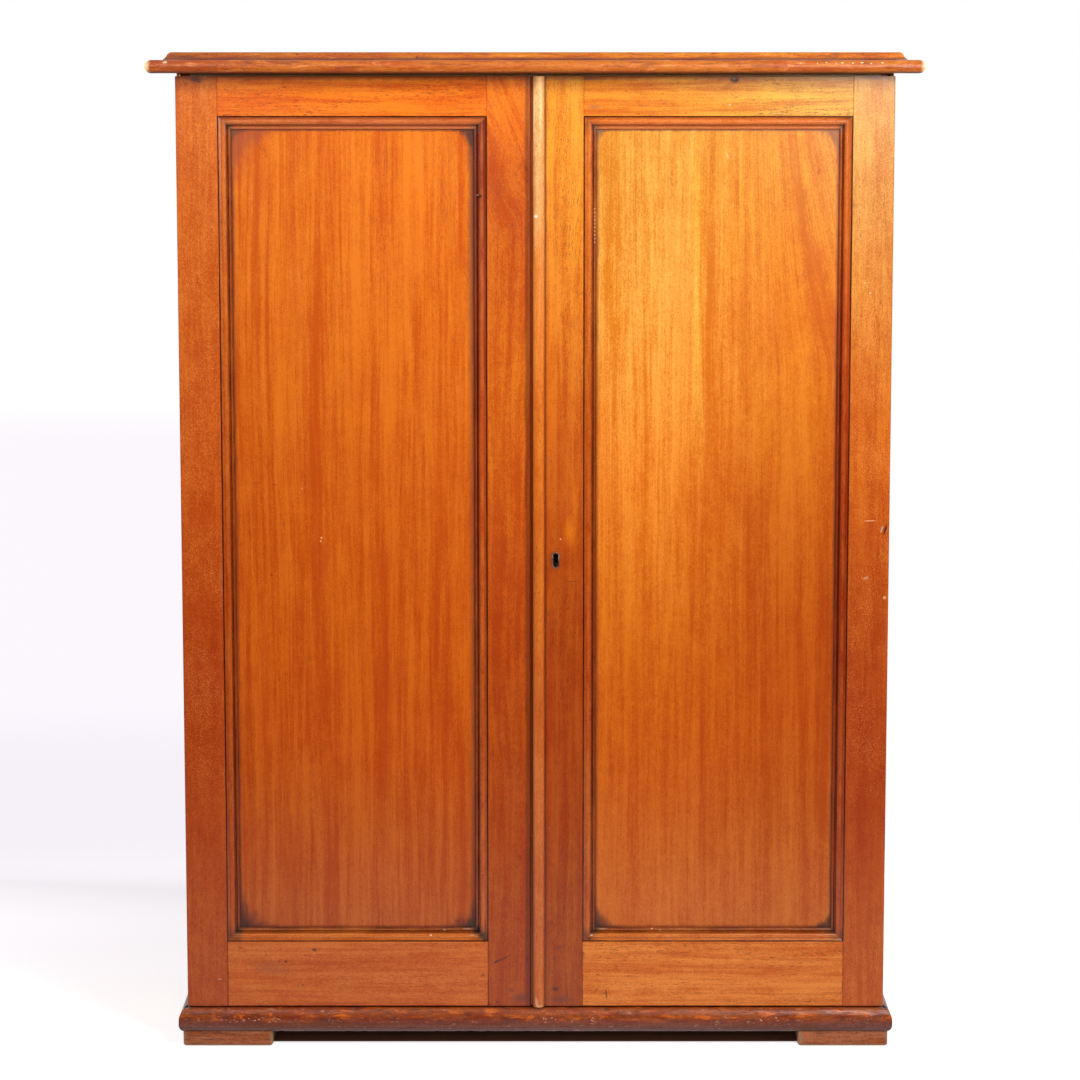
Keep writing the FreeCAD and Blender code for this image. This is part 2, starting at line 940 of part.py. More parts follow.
def strike_box(play, depth_play):
    """The strike plate's block, or with play the recess for it."""
    edge = -meeting_edge(-1)
    return block(
        edge - strike_thickness - depth_play,
        edge,
        lock_plane - strike_width / 2 - play,
        lock_plane + strike_width / 2 + play,
        bolt_level - strike_height / 2 - play,
        bolt_level + strike_height / 2 + play,
    )


def strike_screw_places():
    """The head of each screw in the strike plate."""
    edge = -meeting_edge(-1)
    reach = strike_height / 2 - strike_screw_inset
    return [Vector(edge - screw_sink, lock_plane, bolt_level + way * reach) for way in (-1, 1)]


def strike_plate():
    """The plate in the left door's edge that the lock's bolt shoots into."""
    edge = -meeting_edge(-1)
    window = bolt_bar(strike_hole_play, edge - strike_thickness - overrun, edge + overrun)
    holes = [
        screw_hole(place, Vector(-1, 0, 0), strike_thickness, True) for place in strike_screw_places()
    ]
    return strike_box(0, 0).cut([window] + holes)


def slide_plate_low(way):
    """The bottom of a sliding bolt's plate: way is 1 for the upper bolt and -1 for the lower."""
    if way > 0:
        return top_rail_low - slide_end_gap - slide_guide_inset - slide_plate_height
    return floor_top + slide_end_gap + slide_guide_inset


def slide_screw_places(way):
    """The head of each screw in a sliding bolt's plate."""
    low = slide_plate_low(way)
    spots = (
        (-1, low + slide_screw_inset),
        (1, low + slide_plate_height - slide_screw_inset),
    )
    reach = slide_plate_width / 2 - slide_screw_inset + screw_play
    face = door_back + slide_plate_thickness - screw_sink
    return [Vector(-slide_from_centre + turn * reach, face, level) for turn, level in spots]


def slide_plate(way):
    """A sliding bolt's plate with the two guides that the rod runs in."""
    low = slide_plate_low(way)
    high = low + slide_plate_height
    centre = -slide_from_centre
    plate = block(
        centre - slide_plate_width / 2,
        centre + slide_plate_width / 2,
        door_back,
        door_back + slide_plate_thickness,
        low,
        high,
    )
    corners = edges_near(
        plate, lambda p: at(p.y, door_back + slide_plate_thickness / 2)
    )
    plate = plate.makeChamfer(slide_plate_corner, corners)
    guides = []
    for level in (low + slide_guide_inset, high - slide_guide_inset - slide_guide_height):
        guide = block(
            centre - slide_guide_width / 2,
            centre + slide_guide_width / 2,
            door_back,
            slide_rod_back + slide_play + slide_guide_wall,
            level,
            level + slide_guide_height,
        )
        rim = edges_near(
            guide, lambda p: at(p.y, slide_rod_back + slide_play + slide_guide_wall) and not at(p.x, centre)
        )
        guides.append(guide.makeChamfer(slide_guide_wall, rim))
    channel = block(
        centre - slide_rod / 2 - slide_play,
        centre + slide_rod / 2 + slide_play,
        slide_rod_front - slide_play,
        slide_rod_back + slide_play,
        low - overrun,
        high + overrun,
    )
    holes = [
        screw_hole(place, Vector(0, -1, 0), slide_plate_thickness, True)
        for place in slide_screw_places(way)
    ]
    return plate.fuse(guides).removeSplitter().cut([channel] + holes)


def slide_rod_bar(way):
    """A sliding bolt's square rod, drawn back, with a small round knob between its guides."""
    tip = top_rail_low - slide_end_gap if way > 0 else floor_top + slide_end_gap
    tail = tip - way * slide_rod_length
    centre = -slide_from_centre
    bar = block(centre - slide_rod / 2, centre + slide_rod / 2, slide_rod_front, slide_rod_back, tip, tail)
    bar = bar.makeChamfer(slide_tip_ease, edges_near(bar, lambda p: at(p.z, tip)))
    middle = slide_plate_low(way) + slide_plate_height / 2
    knob = rod(slide_knob_radius, Vector(centre, slide_rod_back, middle), Vector(0, slide_knob_length, 0))
    return bar.fuse(knob).removeSplitter()


def left_meeting_stile():
    """The stile that carries the strike plate and the sliding bolts."""
    inner = meeting_edge(-1)
    stile = eased_stile(-1, opening_from_centre, inner, meeting_edge_round)
    cuts = stile_cuts(-1, opening_from_centre, -1)
    recess = strike_box(strike_play, strike_play)
    cuts.append(recess)
    cuts.append(recess.translated(Vector(overrun, 0, 0)))
    cuts.append(bolt_bar(strike_hole_play, -inner - strike_mortise - strike_play, -inner))
    for place in strike_screw_places():
        cuts.append(screw_hole(place, Vector(-1, 0, 0), screw_length, True))
    for way in (-1, 1):
        for place in slide_screw_places(way):
            cuts.append(screw_hole(place, Vector(0, -1, 0), slide_screw_length, False))
    return stile.cut(cuts)


def door_rail(side, upper):
    """A rail of a door with its tenons, grooved for the panel."""
    low, high = (opening_high, door_high) if upper else (door_low, opening_low)
    tenon_low, tenon_high = tenon_levels()[0 if upper else 1]
    board = block(side * opening_from_centre, side * opening_outer, door_face, door_back, low, high)
    board = board.makeChamfer(frame_arris, edges_near(board, lambda p: at(p.y, door_face)))
    tenons = [
        block(
            side * (opening_from_centre - tenon_length),
            side * opening_from_centre,
            groove_front,
            groove_back,
            tenon_low,
            tenon_high,
        ),
        block(
            side * opening_outer,
            side * (opening_outer + tenon_length),
            groove_front,
            groove_back,
            tenon_low,
            tenon_high,
        ),
    ]
    edge, deep = (low, low + groove_depth) if upper else (high, high - groove_depth)
    mouth = edge - overrun if upper else edge + overrun
    groove = block(
        side * (opening_from_centre - overrun),
        side * (opening_outer + overrun),
        groove_front,
        groove_back,
        mouth,
        deep,
    )
    cuts = [groove]
    if side < 0 and not upper:
        for place in slide_screw_places(-1):
            cuts.append(screw_hole(place, Vector(0, -1, 0), slide_screw_length, False))
    return board.fuse(tenons).removeSplitter().cut(cuts)


def panel(side):
    """The flat panel, held in the grooves of its frame."""
    return block(
        side * (opening_from_centre - panel_in_groove),
        side * (opening_outer + panel_in_groove),
        panel_face,
        panel_back,
        opening_low - panel_in_groove,
        opening_high + panel_in_groove,
    )


def moulding_outline(put):
    """The panel moulding: a quirk, a slope into a round bead, a second quirk and a small bead."""
    bead_start = turned_point(put, moulding_bead_centre, moulding_bead_level, moulding_bead_radius, 140)
    bead_middle = turned_point(put, moulding_bead_centre, moulding_bead_level, moulding_bead_radius, 65)
    bead_end_u = moulding_bead_centre + moulding_bead_radius * math.cos(math.radians(10))
    bead_end_v = moulding_bead_level - moulding_bead_radius * math.sin(math.radians(10))
    small_rise = moulding_inner_level - moulding_small_level
    small_start = moulding_small_centre - math.sqrt(
        moulding_small_radius * moulding_small_radius - small_rise * small_rise
    )
    small_middle = turned_point(
        put, moulding_small_centre, moulding_small_level, moulding_small_radius, 75
    )
    start = put(0, 0)
    steps = [
        [put(0, moulding_quirk_level)],
        [put(moulding_quirk_width, moulding_quirk_level)],
        [put(moulding_quirk_width, moulding_slope_level)],
        [bead_start],
        [bead_middle, put(bead_end_u, bead_end_v)],
        [put(bead_end_u, moulding_inner_level)],
        [put(small_start, moulding_inner_level)],
        [small_middle, put(moulding_small_centre + moulding_small_radius, moulding_small_level)],
        [put(moulding_small_centre + moulding_small_radius, 0)],
        [start],
    ]
    return start, steps


def moulding(side, which):
    """One mitred length of the moulding round a panel."""
    width = moulding_small_centre + moulding_small_radius
    near, far = side * opening_from_centre, side * opening_outer
    low, high = opening_low, opening_high
    lean = Vector(side * width, 0, 0)
    rise = Vector(0, 0, width)
    corner = {
        "near_low": Vector(near, panel_face, low),
        "near_high": Vector(near, panel_face, high),
        "far_low": Vector(far, panel_face, low),
        "far_high": Vector(far, panel_face, high),
    }
    lengths = {
        "near": ("near_low", "near_high", Vector(side, 0, 0), lean + rise, lean - rise),
        "far": ("far_low", "far_high", Vector(-side, 0, 0), rise - lean, -lean - rise),
        "bottom": ("near_low", "far_low", Vector(0, 0, 1), lean + rise, rise - lean),
        "top": ("near_high", "far_high", Vector(0, 0, -1), lean - rise, -lean - rise),
    }
    start_name, end_name, inward, start_mitre, end_mitre = lengths[which]
    start, end = corner[start_name], corner[end_name]
    put = placed(start, inward, Vector(0, -1, 0))
    outline_start, steps = moulding_outline(put)
    length = prism(outline_start, steps, end - start)
    trapezoid = [start, start + start_mitre, end + end_mitre, end]
    return length.common(outline_prism(trapezoid, Vector(0, -panel_recess, 0)))


def meeting_bead():
    """The round bead planted on the right door's meeting edge."""
    radius = bead_width / 2
    put = placed(Vector(right_door_edge, door_face, door_low), Vector(1, 0, 0), Vector(0, -1, 0))
    steps = [
        [put(bead_width, 0)],
        [put(bead_width, bead_side)],
        [put(radius, bead_side + radius), put(0, bead_side)],
        [put(0, 0)],
    ]
    return prism(put(0, 0), steps, Vector(0, 0, door_height))


def export(name, shapes):
    """Write one node: a solid, or a group of alike solids."""
    group = shapes if isinstance(shapes, list) else [shapes]
    solids = [solid for shape in group for solid in shape.Solids]
    for solid in solids:
        if not solid.isValid():
            raise ValueError(name + " is not valid")
    whole = solids[0] if len(solids) == 1 else Part.makeCompound(solids)
    whole.exportStep(os.path.join("parts", name + ".step"))
    print(name, len(solids), round(sum(solid.Volume for solid in solids)))


def carcass():
    """Every piece of the standing body."""
    export("side_left", side_board(-1))
    export("side_right", side_board(1))
    export("bottom_board", floor_board())
    export("top_rail_front", top_rail_front())
    export("top_rail_back", rail(*rail_places()[1]))
    export("base_rail_front", rail(*rail_places()[2]))
    export("base_rail_back", rail(*rail_places()[3]))
    top = edged_board(top_overhang, carcass_top, top_thickness, round_edge)
    export("top_board", top.cut(fixed_leaf_cuts(1)))
    export("crown_board", edged_board(crown_proud, board_top, crown_thickness, crown_edge))
    for index in range(back_board_count):
        export("back_board_" + str(index + 1), back_board(index))
    for index in range(shelf_count):
        export("shelf_" + str(index + 1), shelf(index))
    export("shelf_bearers", [bearer(side, k) for side in (-1, 1) for k in range(shelf_count)])
    export("plinth_front", plinth_front().cut(fixed_leaf_cuts(-1)))
    for side, word in ((-1, "left"), (1, "right")):
        export("plinth_" + word, plinth_side(side))
        export("foot_front_" + word, foot(side, True))
        export("foot_back_" + word, foot(side, False))
        leaves = [hinge_leaf(side, fixed, way) for edge, fixed, way in hinge_ends()]
        export("carcass_hinge_leaves_" + word, leaves)
    export("hinge_pins", [hinge_pin(side, end) for side in (-1, 1) for end in hinge_ends()])
    export("carcass_screws", fixed_leaf_screws(-1) + fixed_leaf_screws(1))
    export("bolt_keepers", bolt_keepers())


def door(side, word):
    """The frame, panel, mouldings and hinge leaves of a door."""
    export(word + "_door_hinge_stile", hinge_stile(side))
    export(word + "_door_top_rail", door_rail(side, True))
    export(word + "_door_bottom_rail", door_rail(side, False))
    export(word + "_door_panel", panel(side))
    export(word + "_door_moulding_top", moulding(side, "top"))
    export(word + "_door_moulding_bottom", moulding(side, "bottom"))
    export(word + "_door_moulding_hinge_side", moulding(side, "far"))
    export(word + "_door_moulding_meeting_side", moulding(side, "near"))
    leaves = [hinge_leaf(side, edge, -way) for edge, fixed, way in hinge_ends()]
    export(word + "_door_hinge_leaves", leaves)


def left_door():
    """The left door with its strike plate and sliding bolts."""
    door(-1, "left")
    export("left_door_meeting_stile", left_meeting_stile())
    export("strike_plate", strike_plate())
    screws = door_leaf_screws(-1)
    for place in strike_screw_places():
        screws.append(screw(place, Vector(-1, 0, 0), screw_length))
    for way, word in ((1, "top"), (-1, "bottom")):
        export("slide_bolt_plate_" + word, slide_plate(way))
        export("slide_bolt_rod_" + word, slide_rod_bar(way))
        for place in slide_screw_places(way):
            screws.append(screw(place, Vector(0, -1, 0), slide_screw_length))
    export("left_door_screws", screws)


def right_door():
    """The right door with its bead, keyhole lining and lock."""
    door(1, "right")
    export("right_door_meeting_stile", right_meeting_stile())
    export("meeting_bead", meeting_bead())
    export("keyhole_lining", lining())
    export("lock_case", lock_case())
    export("lock_bolt", lock_bolt())
    screws = door_leaf_screws(1)
    for place in lock_screw_places():
        screws.append(screw(place, Vector(0, -1, 0), lock_thickness + lock_screw_length))
    export("right_door_screws", screws)


os.makedirs("parts", exist_ok=True)
carcass()
left_door()
right_door()
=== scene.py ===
import functools
import json
import math

import bpy
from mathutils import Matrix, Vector, noise

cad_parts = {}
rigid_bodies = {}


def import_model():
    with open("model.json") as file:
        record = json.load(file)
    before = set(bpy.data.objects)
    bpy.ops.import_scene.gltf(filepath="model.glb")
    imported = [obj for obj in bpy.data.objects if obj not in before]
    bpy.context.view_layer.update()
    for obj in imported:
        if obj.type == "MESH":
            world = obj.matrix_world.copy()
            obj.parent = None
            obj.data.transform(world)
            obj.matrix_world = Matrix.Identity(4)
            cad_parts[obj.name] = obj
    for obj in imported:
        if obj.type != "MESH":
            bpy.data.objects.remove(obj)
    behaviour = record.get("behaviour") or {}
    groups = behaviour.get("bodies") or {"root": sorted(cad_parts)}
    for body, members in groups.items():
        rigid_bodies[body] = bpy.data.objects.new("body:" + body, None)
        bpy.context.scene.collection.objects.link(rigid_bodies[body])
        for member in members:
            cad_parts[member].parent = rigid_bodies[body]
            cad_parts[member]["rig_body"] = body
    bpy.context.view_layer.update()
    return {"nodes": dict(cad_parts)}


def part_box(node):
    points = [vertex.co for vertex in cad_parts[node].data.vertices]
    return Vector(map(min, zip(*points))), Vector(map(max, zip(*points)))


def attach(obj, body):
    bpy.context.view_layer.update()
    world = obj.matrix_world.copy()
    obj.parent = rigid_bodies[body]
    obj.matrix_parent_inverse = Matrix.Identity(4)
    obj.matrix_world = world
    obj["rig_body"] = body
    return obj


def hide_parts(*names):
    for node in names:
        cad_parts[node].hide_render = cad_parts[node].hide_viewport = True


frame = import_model()
nodes = frame["nodes"]

MM = 0.001
GLOSS = 0.36


# Sizes, read from the CAD boxes
def span(node, axis):
    """The lowest and highest place of a node along an axis, in metres."""
    low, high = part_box(node)
    return low[axis], high[axis]


DOOR_LOW, DOOR_HIGH = span("meeting_bead", 2)
DOOR_FACE = span("right_door_top_rail", 1)[0]
PANEL_FACE = span("left_door_panel", 1)[0]
TOP_LOW, TOP_HIGH = span("top_board", 2)
TOP_BACK = span("top_board", 1)[1]
CROWN_HIGH = span("crown_board", 2)[1]
HALF_WIDTH = span("side_right", 0)[1]
CARCASS_FRONT, CARCASS_BACK = span("side_right", 1)
TOP_PROUD = span("top_board", 0)[1] - HALF_WIDTH
CROWN_PROUD = span("crown_board", 0)[1] - HALF_WIDTH
PLINTH_LOW, PLINTH_HIGH = span("plinth_front", 2)
PLINTH_PROUD = DOOR_FACE - span("plinth_front", 1)[0]
OPENING_LOW = span("left_door_moulding_bottom", 2)[0]
OPENING_HIGH = span("left_door_moulding_top", 2)[1]
OPENING_NEAR = span("right_door_moulding_meeting_side", 0)[0]
OPENING_FAR = span("right_door_moulding_hinge_side", 0)[1]
MOULDING_WIDTH = span("right_door_moulding_bottom", 2)[1] - OPENING_LOW
BEAD_LEFT, BEAD_RIGHT = span("meeting_bead", 0)
LEFT_EDGE = span("left_door_meeting_stile", 0)[1]
KEYHOLE_X = sum(span("keyhole_lining", 0)) / 2
KEYHOLE_Z = sum(span("keyhole_lining", 2)) / 2


def rgb(red, green, blue):
    """A colour as the shader counts it, from one as it looks on screen in 0 to 255."""
    linear = []
    for part in (red, green, blue):
        part = part / 255
        linear.append(part / 12.92 if part <= 0.04045 else ((part + 0.055) / 1.055) ** 2.4)
    return (*linear, 1.0)


class Value:
    """A number in a material that can be added and multiplied like any other."""

    def __init__(self, graph, socket):
        self.graph = graph
        self.socket = socket

    def __add__(self, other):
        return self.graph.math("ADD", self, other)

    __radd__ = __add__

    def __sub__(self, other):
        return self.graph.math("SUBTRACT", self, other)

    def __rsub__(self, other):
        return self.graph.math("SUBTRACT", other, self)

    def __mul__(self, other):
        return self.graph.math("MULTIPLY", self, other)

    __rmul__ = __mul__

    def __abs__(self):
        return self.graph.math("ABSOLUTE", self)


class Graph:
    """Writes the shader nodes of one material, or of the world."""

    def __init__(self, owner):
        owner.use_nodes = True
        self.owner = owner
        self.tree = owner.node_tree
        self.tree.nodes.clear()
        apart = self.node("SeparateXYZ", {0: self.out(self.node("TexCoord"), "Object")})
        self.x, self.y, self.z = (Value(self, socket) for socket in apart.outputs)

    def node(self, kind, inputs=(), **settings):
        """A new node with its inputs by name or number. Three parts are a colour as it looks on screen."""
        made = self.tree.nodes.new("ShaderNode" + kind)
        for name, value in settings.items():
            setattr(made, name, value)
        for key, value in dict(inputs).items():
            if isinstance(value, Value):
                self.tree.links.new(value.socket, made.inputs[key])
            elif isinstance(value, tuple) and len(value) == 3:
                made.inputs[key].default_value = rgb(*value)
            else:
                made.inputs[key].default_value = value
        return made

    def out(self, node, key=0):
        return Value(self, node.outputs[key])

    def math(self, operation, *values, clamp=False):
        inputs = dict(enumerate(values))
        return self.out(self.node("Math", inputs, operation=operation, use_clamp=clamp))

    def low(self, *values):
        return functools.reduce(functools.partial(self.math, "MINIMUM"), values)

    def high(self, *values):
        return functools.reduce(functools.partial(self.math, "MAXIMUM"), values)

    def away(self, across, up):
        """The length of a way that goes so far across and so far up."""
        return self.math("SQRT", across * across + up * up)

    def clamp(self, value):
        return self.math("ADD", value, 0.0, clamp=True)

    def step(self, low, high, value):
        """0 below low, 1 above high and smooth between; with low above high it falls."""
        falls = float(low > high)
        inputs = {
            "Value": value,
            "From Min": min(low, high),
            "From Max": max(low, high),
            "To Min": falls,
            "To Max": 1.0 - falls,
        }
        return self.out(self.node("MapRange", inputs, interpolation_type="SMOOTHSTEP"), "Result")

    def point(self, x, y, z):
        return self.out(self.node("CombineXYZ", {0: x, 1: y, 2: z}))

    def noise(self, point, detail=2.0, roughness=0.5, distortion=0.0):
        looks = {"Scale": 1.0, "Detail": detail, "Roughness": roughness, "Distortion": distortion}
        return self.out(self.node("TexNoise", {"Vector": point, **looks}), "Fac")

    def cloud(self, x, y, z, seed, *looks):
        """Noise with so many changes a metre along each axis."""
        return self.noise(self.point(self.x * x + seed, self.y * y, self.z * z), *looks)

    def cells(self, point):
        """The distance to the nearest of many scattered points, and two random numbers for it."""
        found = self.node("TexVoronoi", {"Vector": point, "Scale": 1.0})
        apart = self.node("SeparateColor", {0: self.out(found, "Color")})
        return self.out(found, "Distance"), self.out(apart, 0), self.out(apart, 1)

    def ramp(self, value, stops):
        """A colour that changes along a value from 0 to 1, given as places and screen colours."""
        made = self.node("ValToRGB", {0: value})
        made.color_ramp.interpolation = "CARDINAL"
        marks = made.color_ramp.elements
        while len(marks) < len(stops):
            marks.new(0.5)
        for mark, (place, colour) in zip(marks, stops):
            mark.position = place
            mark.color = rgb(*colour)
        return self.out(made)

    def mix(self, share, first, second, blend="MIX"):
        """Two colours, by the share of the second."""
        made = self.node("Mix", {0: share, 6: first, 7: second}, data_type="RGBA", blend_type=blend)
        return self.out(made, 2)

    def surface(self, colour, roughness, height, depth, metal=0.0):
        """Ends the material in one shader, with fine relief from a height."""
        relief = self.out(self.node("Bump", {"Distance": depth, "Strength": 1.0, "Height": height}))
        inputs = {"Base Color": colour, "Roughness": roughness, "Normal": relief, "Metallic": metal}
        return self.end(self.node("BsdfPrincipled", {**inputs, "Specular IOR Level": GLOSS}))

    def end(self, shader, kind="OutputMaterial"):
        self.node(kind, {0: self.out(shader)})
        return self.owner


def material_graph(name):
    return Graph(bpy.data.materials.new(name))


# Wood
GRAIN_X, GRAIN_Y, GRAIN_Z = "x", "y", "z"
SHADE_DARK = (0.84, 0.64, 0.19, 1.0)
SHADE_LIGHT = (1.13, 1.41, 2.4, 1.0)
PORE = (88, 30, 6)
# Dark brown for grime and painted shade in creases, quirks and hollows
GRIME_AND_SHADE = (86, 28, 5)
DUST = (92, 74, 56)
PALE = (240, 182, 128)
# Layers of the grain, broad to fine: width and length in metres, what the seed gets more, detail and
# roughness of the noise, strength
STREAKS = (
    (0.045, 0.6, 0, 2.0, 0.5, 1.3),
    (0.0125, 0.17, 1, 2.0, 0.55, 1.5),
    (0.0048, 0.065, 1.5, 2.0, 0.55, 1.15),
    (0.0019, 0.024, 2, 2.0, 0.6, 0.85),
)
MOTTLES = (
    (0.028, 0.045, 3, 3.0, 0.6, 0.85),
    (0.0065, 0.0085, 3.5, 2.0, 0.6, 0.45),
    (0.0019, 0.0024, 3.8, 1.0, 0.5, 1.2),
)
RINGS = 0.18
# How deep the fine relief of a surface is, in metres
BOARD_RELIEF, MOULDING_RELIEF, TOP_RELIEF, PLINTH_RELIEF, FOOT_RELIEF, METAL_RELIEF = (
    0.00012, 0.0001, 0.00025, 0.0004, 0.0005, 0.00008)


def grained(g, grain, wide, long, seed, detail=2.0, roughness=0.5, shift=0.0):
    """Noise so wide across the grain and so long along it, in metres, pushed sideways by the shift."""
    across, along = 1 / wide, 1 / long
    scales = {
        GRAIN_Z: (across, across, along),
        GRAIN_X: (along, across, across),
        GRAIN_Y: (across, along, across),
    }[grain]
    x = g.x + shift if grain == GRAIN_Z else g.x
    z = g.z if grain == GRAIN_Z else g.z + shift
    point = g.point(x * scales[0] + seed * 7.31, g.y * scales[1] + seed * 3.17, z * scales[2] + seed * 11.83)
    return g.noise(point, detail, roughness)


def grain_stretch(grain, along):
    """The scales that lengthen a spot along the grain."""
    return {GRAIN_Z: (1, 1, along), GRAIN_X: (along, 1, 1), GRAIN_Y: (1, along, 1)}[grain]


def specks(g, cell, share, radius, seed, stretch=(1, 1, 1)):
    """Small scattered spots: 1 inside one."""
    point = g.point(
        g.x * (stretch[0] / cell) + seed * 1.7,
        g.y * (stretch[1] / cell) + seed * 2.3,
        g.z * (stretch[2] / cell) + seed * 3.1,
    )
    distance, pick, size = g.cells(point)
    reach = (size * 0.7 + 0.3) * (radius / cell)
    inside = g.clamp((reach - distance) * (cell / radius) * 2.5)
    return inside * g.math("LESS_THAN", pick, share)


def spot(g, x, z, wide, tall, turn=0.0, soft=0.5):
    """1 inside a turned oval on a face that looks to the front, places and half sizes in millimetres."""
    cos, sin = math.cos(math.radians(turn)), math.sin(math.radians(turn))
    from_x, from_z = g.x - x * MM, g.z - z * MM
    along = from_x * (cos / (wide * MM)) + from_z * (sin / (wide * MM))
    across = from_z * (cos / (tall * MM)) - from_x * (sin / (tall * MM))
    return g.step(1.0, 1.0 - soft, g.away(along, across) + (g.cloud(300, 300, 300, 0.0) - 0.5) * 0.5)


def wood(g, grain, seed, mean, streak=1.0, mottle=1.0, long=1.0, wave=0.012, pore=0.5, fleck=0.4,
         bend=None):
    """The colour of polished mahogany round a mean colour, and the height of its grain."""
    drift = grained(g, grain, 0.11, 0.42 * long, seed + 0.5)
    shift = (drift - 0.5) * (wave * 2)
    if bend is not None:
        shift = shift + bend
    streaks = [
        grained(g, grain, wide, length * long, seed + later, detail, rough, shift)
        for wide, length, later, detail, rough, _ in STREAKS
    ]
    broad, ribbon, _, fine = streaks
    mottles = [
        grained(g, grain, wide, length, seed + later, detail, rough)
        for wide, length, later, detail, rough, _ in MOTTLES
    ]
    rings = g.math("FRACT", broad * 5.0 + ribbon * 0.7)
    tone = 0.5
    for layer, row in zip(streaks, STREAKS):
        tone = tone + (layer - 0.5) * (row[-1] * streak)
    tone = tone + (rings - 0.5) * (RINGS * streak)
    for layer, row in zip(mottles, MOTTLES):
        tone = tone + (layer - 0.5) * (row[-1] * mottle)
    colour = g.mix(1.0, mean, g.mix(g.clamp(tone), SHADE_DARK, SHADE_LIGHT), "MULTIPLY")
    pores = grained(g, grain, 0.0009, 0.0075, seed + 4, 1.0, shift=shift)
    where = grained(g, grain, 0.03, 0.2, seed + 5)
    pored = g.step(0.61, 0.74, pores + (where - 0.5) * 0.3)
    colour = g.mix(pored * pore, colour, PORE)
    flecks = specks(g, 0.017, 0.16, 0.0013, seed + 6, grain_stretch(grain, 0.35))
    colour = g.mix(flecks * fleck, colour, PORE)
    height = fine * 0.3 - pored * 0.5 + ribbon * 0.3 + mottles[-1] * 0.15
    return colour, height


def worn(g, colour, seed, nicks=0.5, dents=0.4):
    """Small pale nicks and dark dents over everything."""
    pale = specks(g, 0.034, 0.14, 0.0012, seed + 20)
    colour = g.mix(pale * nicks, colour, PALE)
    dark = specks(g, 0.05, 0.18, 0.0018, seed + 21)
    return g.mix(dark * dents, colour, PORE)


def by_height(g, mean):
    """One colour as it is, or a colour that changes by stops from the foot of the doors to their head."""
    if not isinstance(mean[0], tuple):
        return mean
    return g.ramp((g.z - DOOR_LOW) * (1 / (DOOR_HIGH - DOOR_LOW)), mean)


def polish(g, grain, seed, base=0.25, spread=0.14):
    """The roughness of worn French polish."""
    return grained(g, grain, 0.03, 0.12, seed + 9, 3.0) * spread + base


def marked(g, colour, marks):
    """Adds the marks of one piece: each is a spot, a colour and a strength."""
    for *place, tone, strength in marks:
        colour = g.mix(spot(g, *place) * strength, colour, tone)
    return colour


def plain_wood(name, grain, seed, mean, marks=(), extra=None, bend=None, **more):
    """A plain board. The mean is one colour, stops by height, or a function that gives a colour."""
    g = material_graph(name)
    if bend is not None:
        more["bend"] = bend(g)
    mean = mean(g) if callable(mean) else by_height(g, mean)
    colour, height = wood(g, grain, seed, mean, **more)
    colour = marked(g, worn(g, colour, seed), marks)
    if extra is not None:
        colour = extra(g, colour)
    return g.surface(colour, polish(g, grain, seed), height, BOARD_RELIEF)


# Mean colours from the foot of the doors to their head. Part of their rise towards the head, and of the paler
# gold at the head on the right, is painted light from above and its sheen
LEFT_STILE = ((0.05, (175, 71, 10)), (0.23, (174, 65, 6)), (0.45, (181, 71, 6)), (0.92, (197, 94, 18)))
LEFT_MEETING = (
    (0.05, (166, 67, 8)), (0.45, (180, 72, 4)), (0.66, (194, 90, 8)), (0.90, (184, 80, 8)),
    (0.96, (208, 98, 8)),
)
LEFT_PANEL = ((0.05, (178, 80, 20)), (0.28, (192, 80, 6)), (0.60, (197, 88, 8)), (0.90, (203, 97, 12)))
LEFT_MOULDING = ((0.05, (178, 76, 14)), (0.45, (178, 74, 10)), (0.95, (194, 94, 22)))
RIGHT_STILE = (
    (0.05, (188, 86, 16)), (0.23, (168, 60, 6)), (0.45, (178, 74, 8)), (0.66, (195, 96, 12)),
    (0.92, (199, 130, 40)),
)
RIGHT_MEETING = (
    (0.05, (161, 69, 8)), (0.23, (164, 64, 4)), (0.45, (170, 69, 4)), (0.66, (191, 90, 10)),
    (0.92, (208, 120, 20)),
)
RIGHT_PANEL_NEAR = (
    (0.05, (198, 97, 24)), (0.28, (196, 87, 8)), (0.45, (206, 102, 14)), (0.60, (218, 120, 28)),
    (0.77, (217, 137, 42)), (0.90, (208, 134, 38)),
)
RIGHT_PANEL_FAR = (
    (0.05, (192, 94, 22)), (0.28, (184, 78, 6)), (0.45, (182, 79, 6)), (0.60, (196, 96, 10)),
    (0.77, (205, 108, 14)), (0.90, (205, 121, 20)),
)
RIGHT_MOULDING = ((0.05, (182, 82, 16)), (0.45, (172, 68, 8)), (0.95, (196, 98, 20)))
# Own mean colours of some mouldings. The bottom ones are lighter: painted light on beads that face up
MOULDINGS = {
    "left_door_moulding_bottom": (204, 100, 22),
    "right_door_moulding_bottom": (206, 106, 28),
    "left_door_moulding_top": (172, 80, 28),
    "right_door_moulding_top": (190, 92, 26),
    "left_door_moulding_meeting_side": ((0.05, (172, 72, 16)), (0.6, (168, 66, 14)), (0.95, (138, 52, 22))),
    "right_door_moulding_hinge_side": (
        (0.05, (166, 66, 14)), (0.45, (150, 50, 6)), (0.75, (166, 62, 8)), (0.95, (186, 88, 16)),
    ),
}
STRIP = ((0.1, (116, 54, 24)), (0.4, (112, 40, 6)), (0.9, (150, 62, 12)))
BEAD = ((0.14, (196, 97, 36)), (0.45, (199, 96, 18)), (0.77, (212, 118, 38)), (0.95, (222, 158, 82)))
# By the height of the plinth itself. They darken towards the foot, where the plinth turns under: painted
# shade
PLINTH = (
    (0.0, (100, 56, 40)), (0.3, (112, 52, 30)), (0.5, (128, 50, 14)), (0.75, (150, 64, 10)),
    (0.95, (158, 70, 14)),
)

SMOKY = (96, 50, 40)
INK = (58, 28, 22)
RUST = (150, 46, 12)
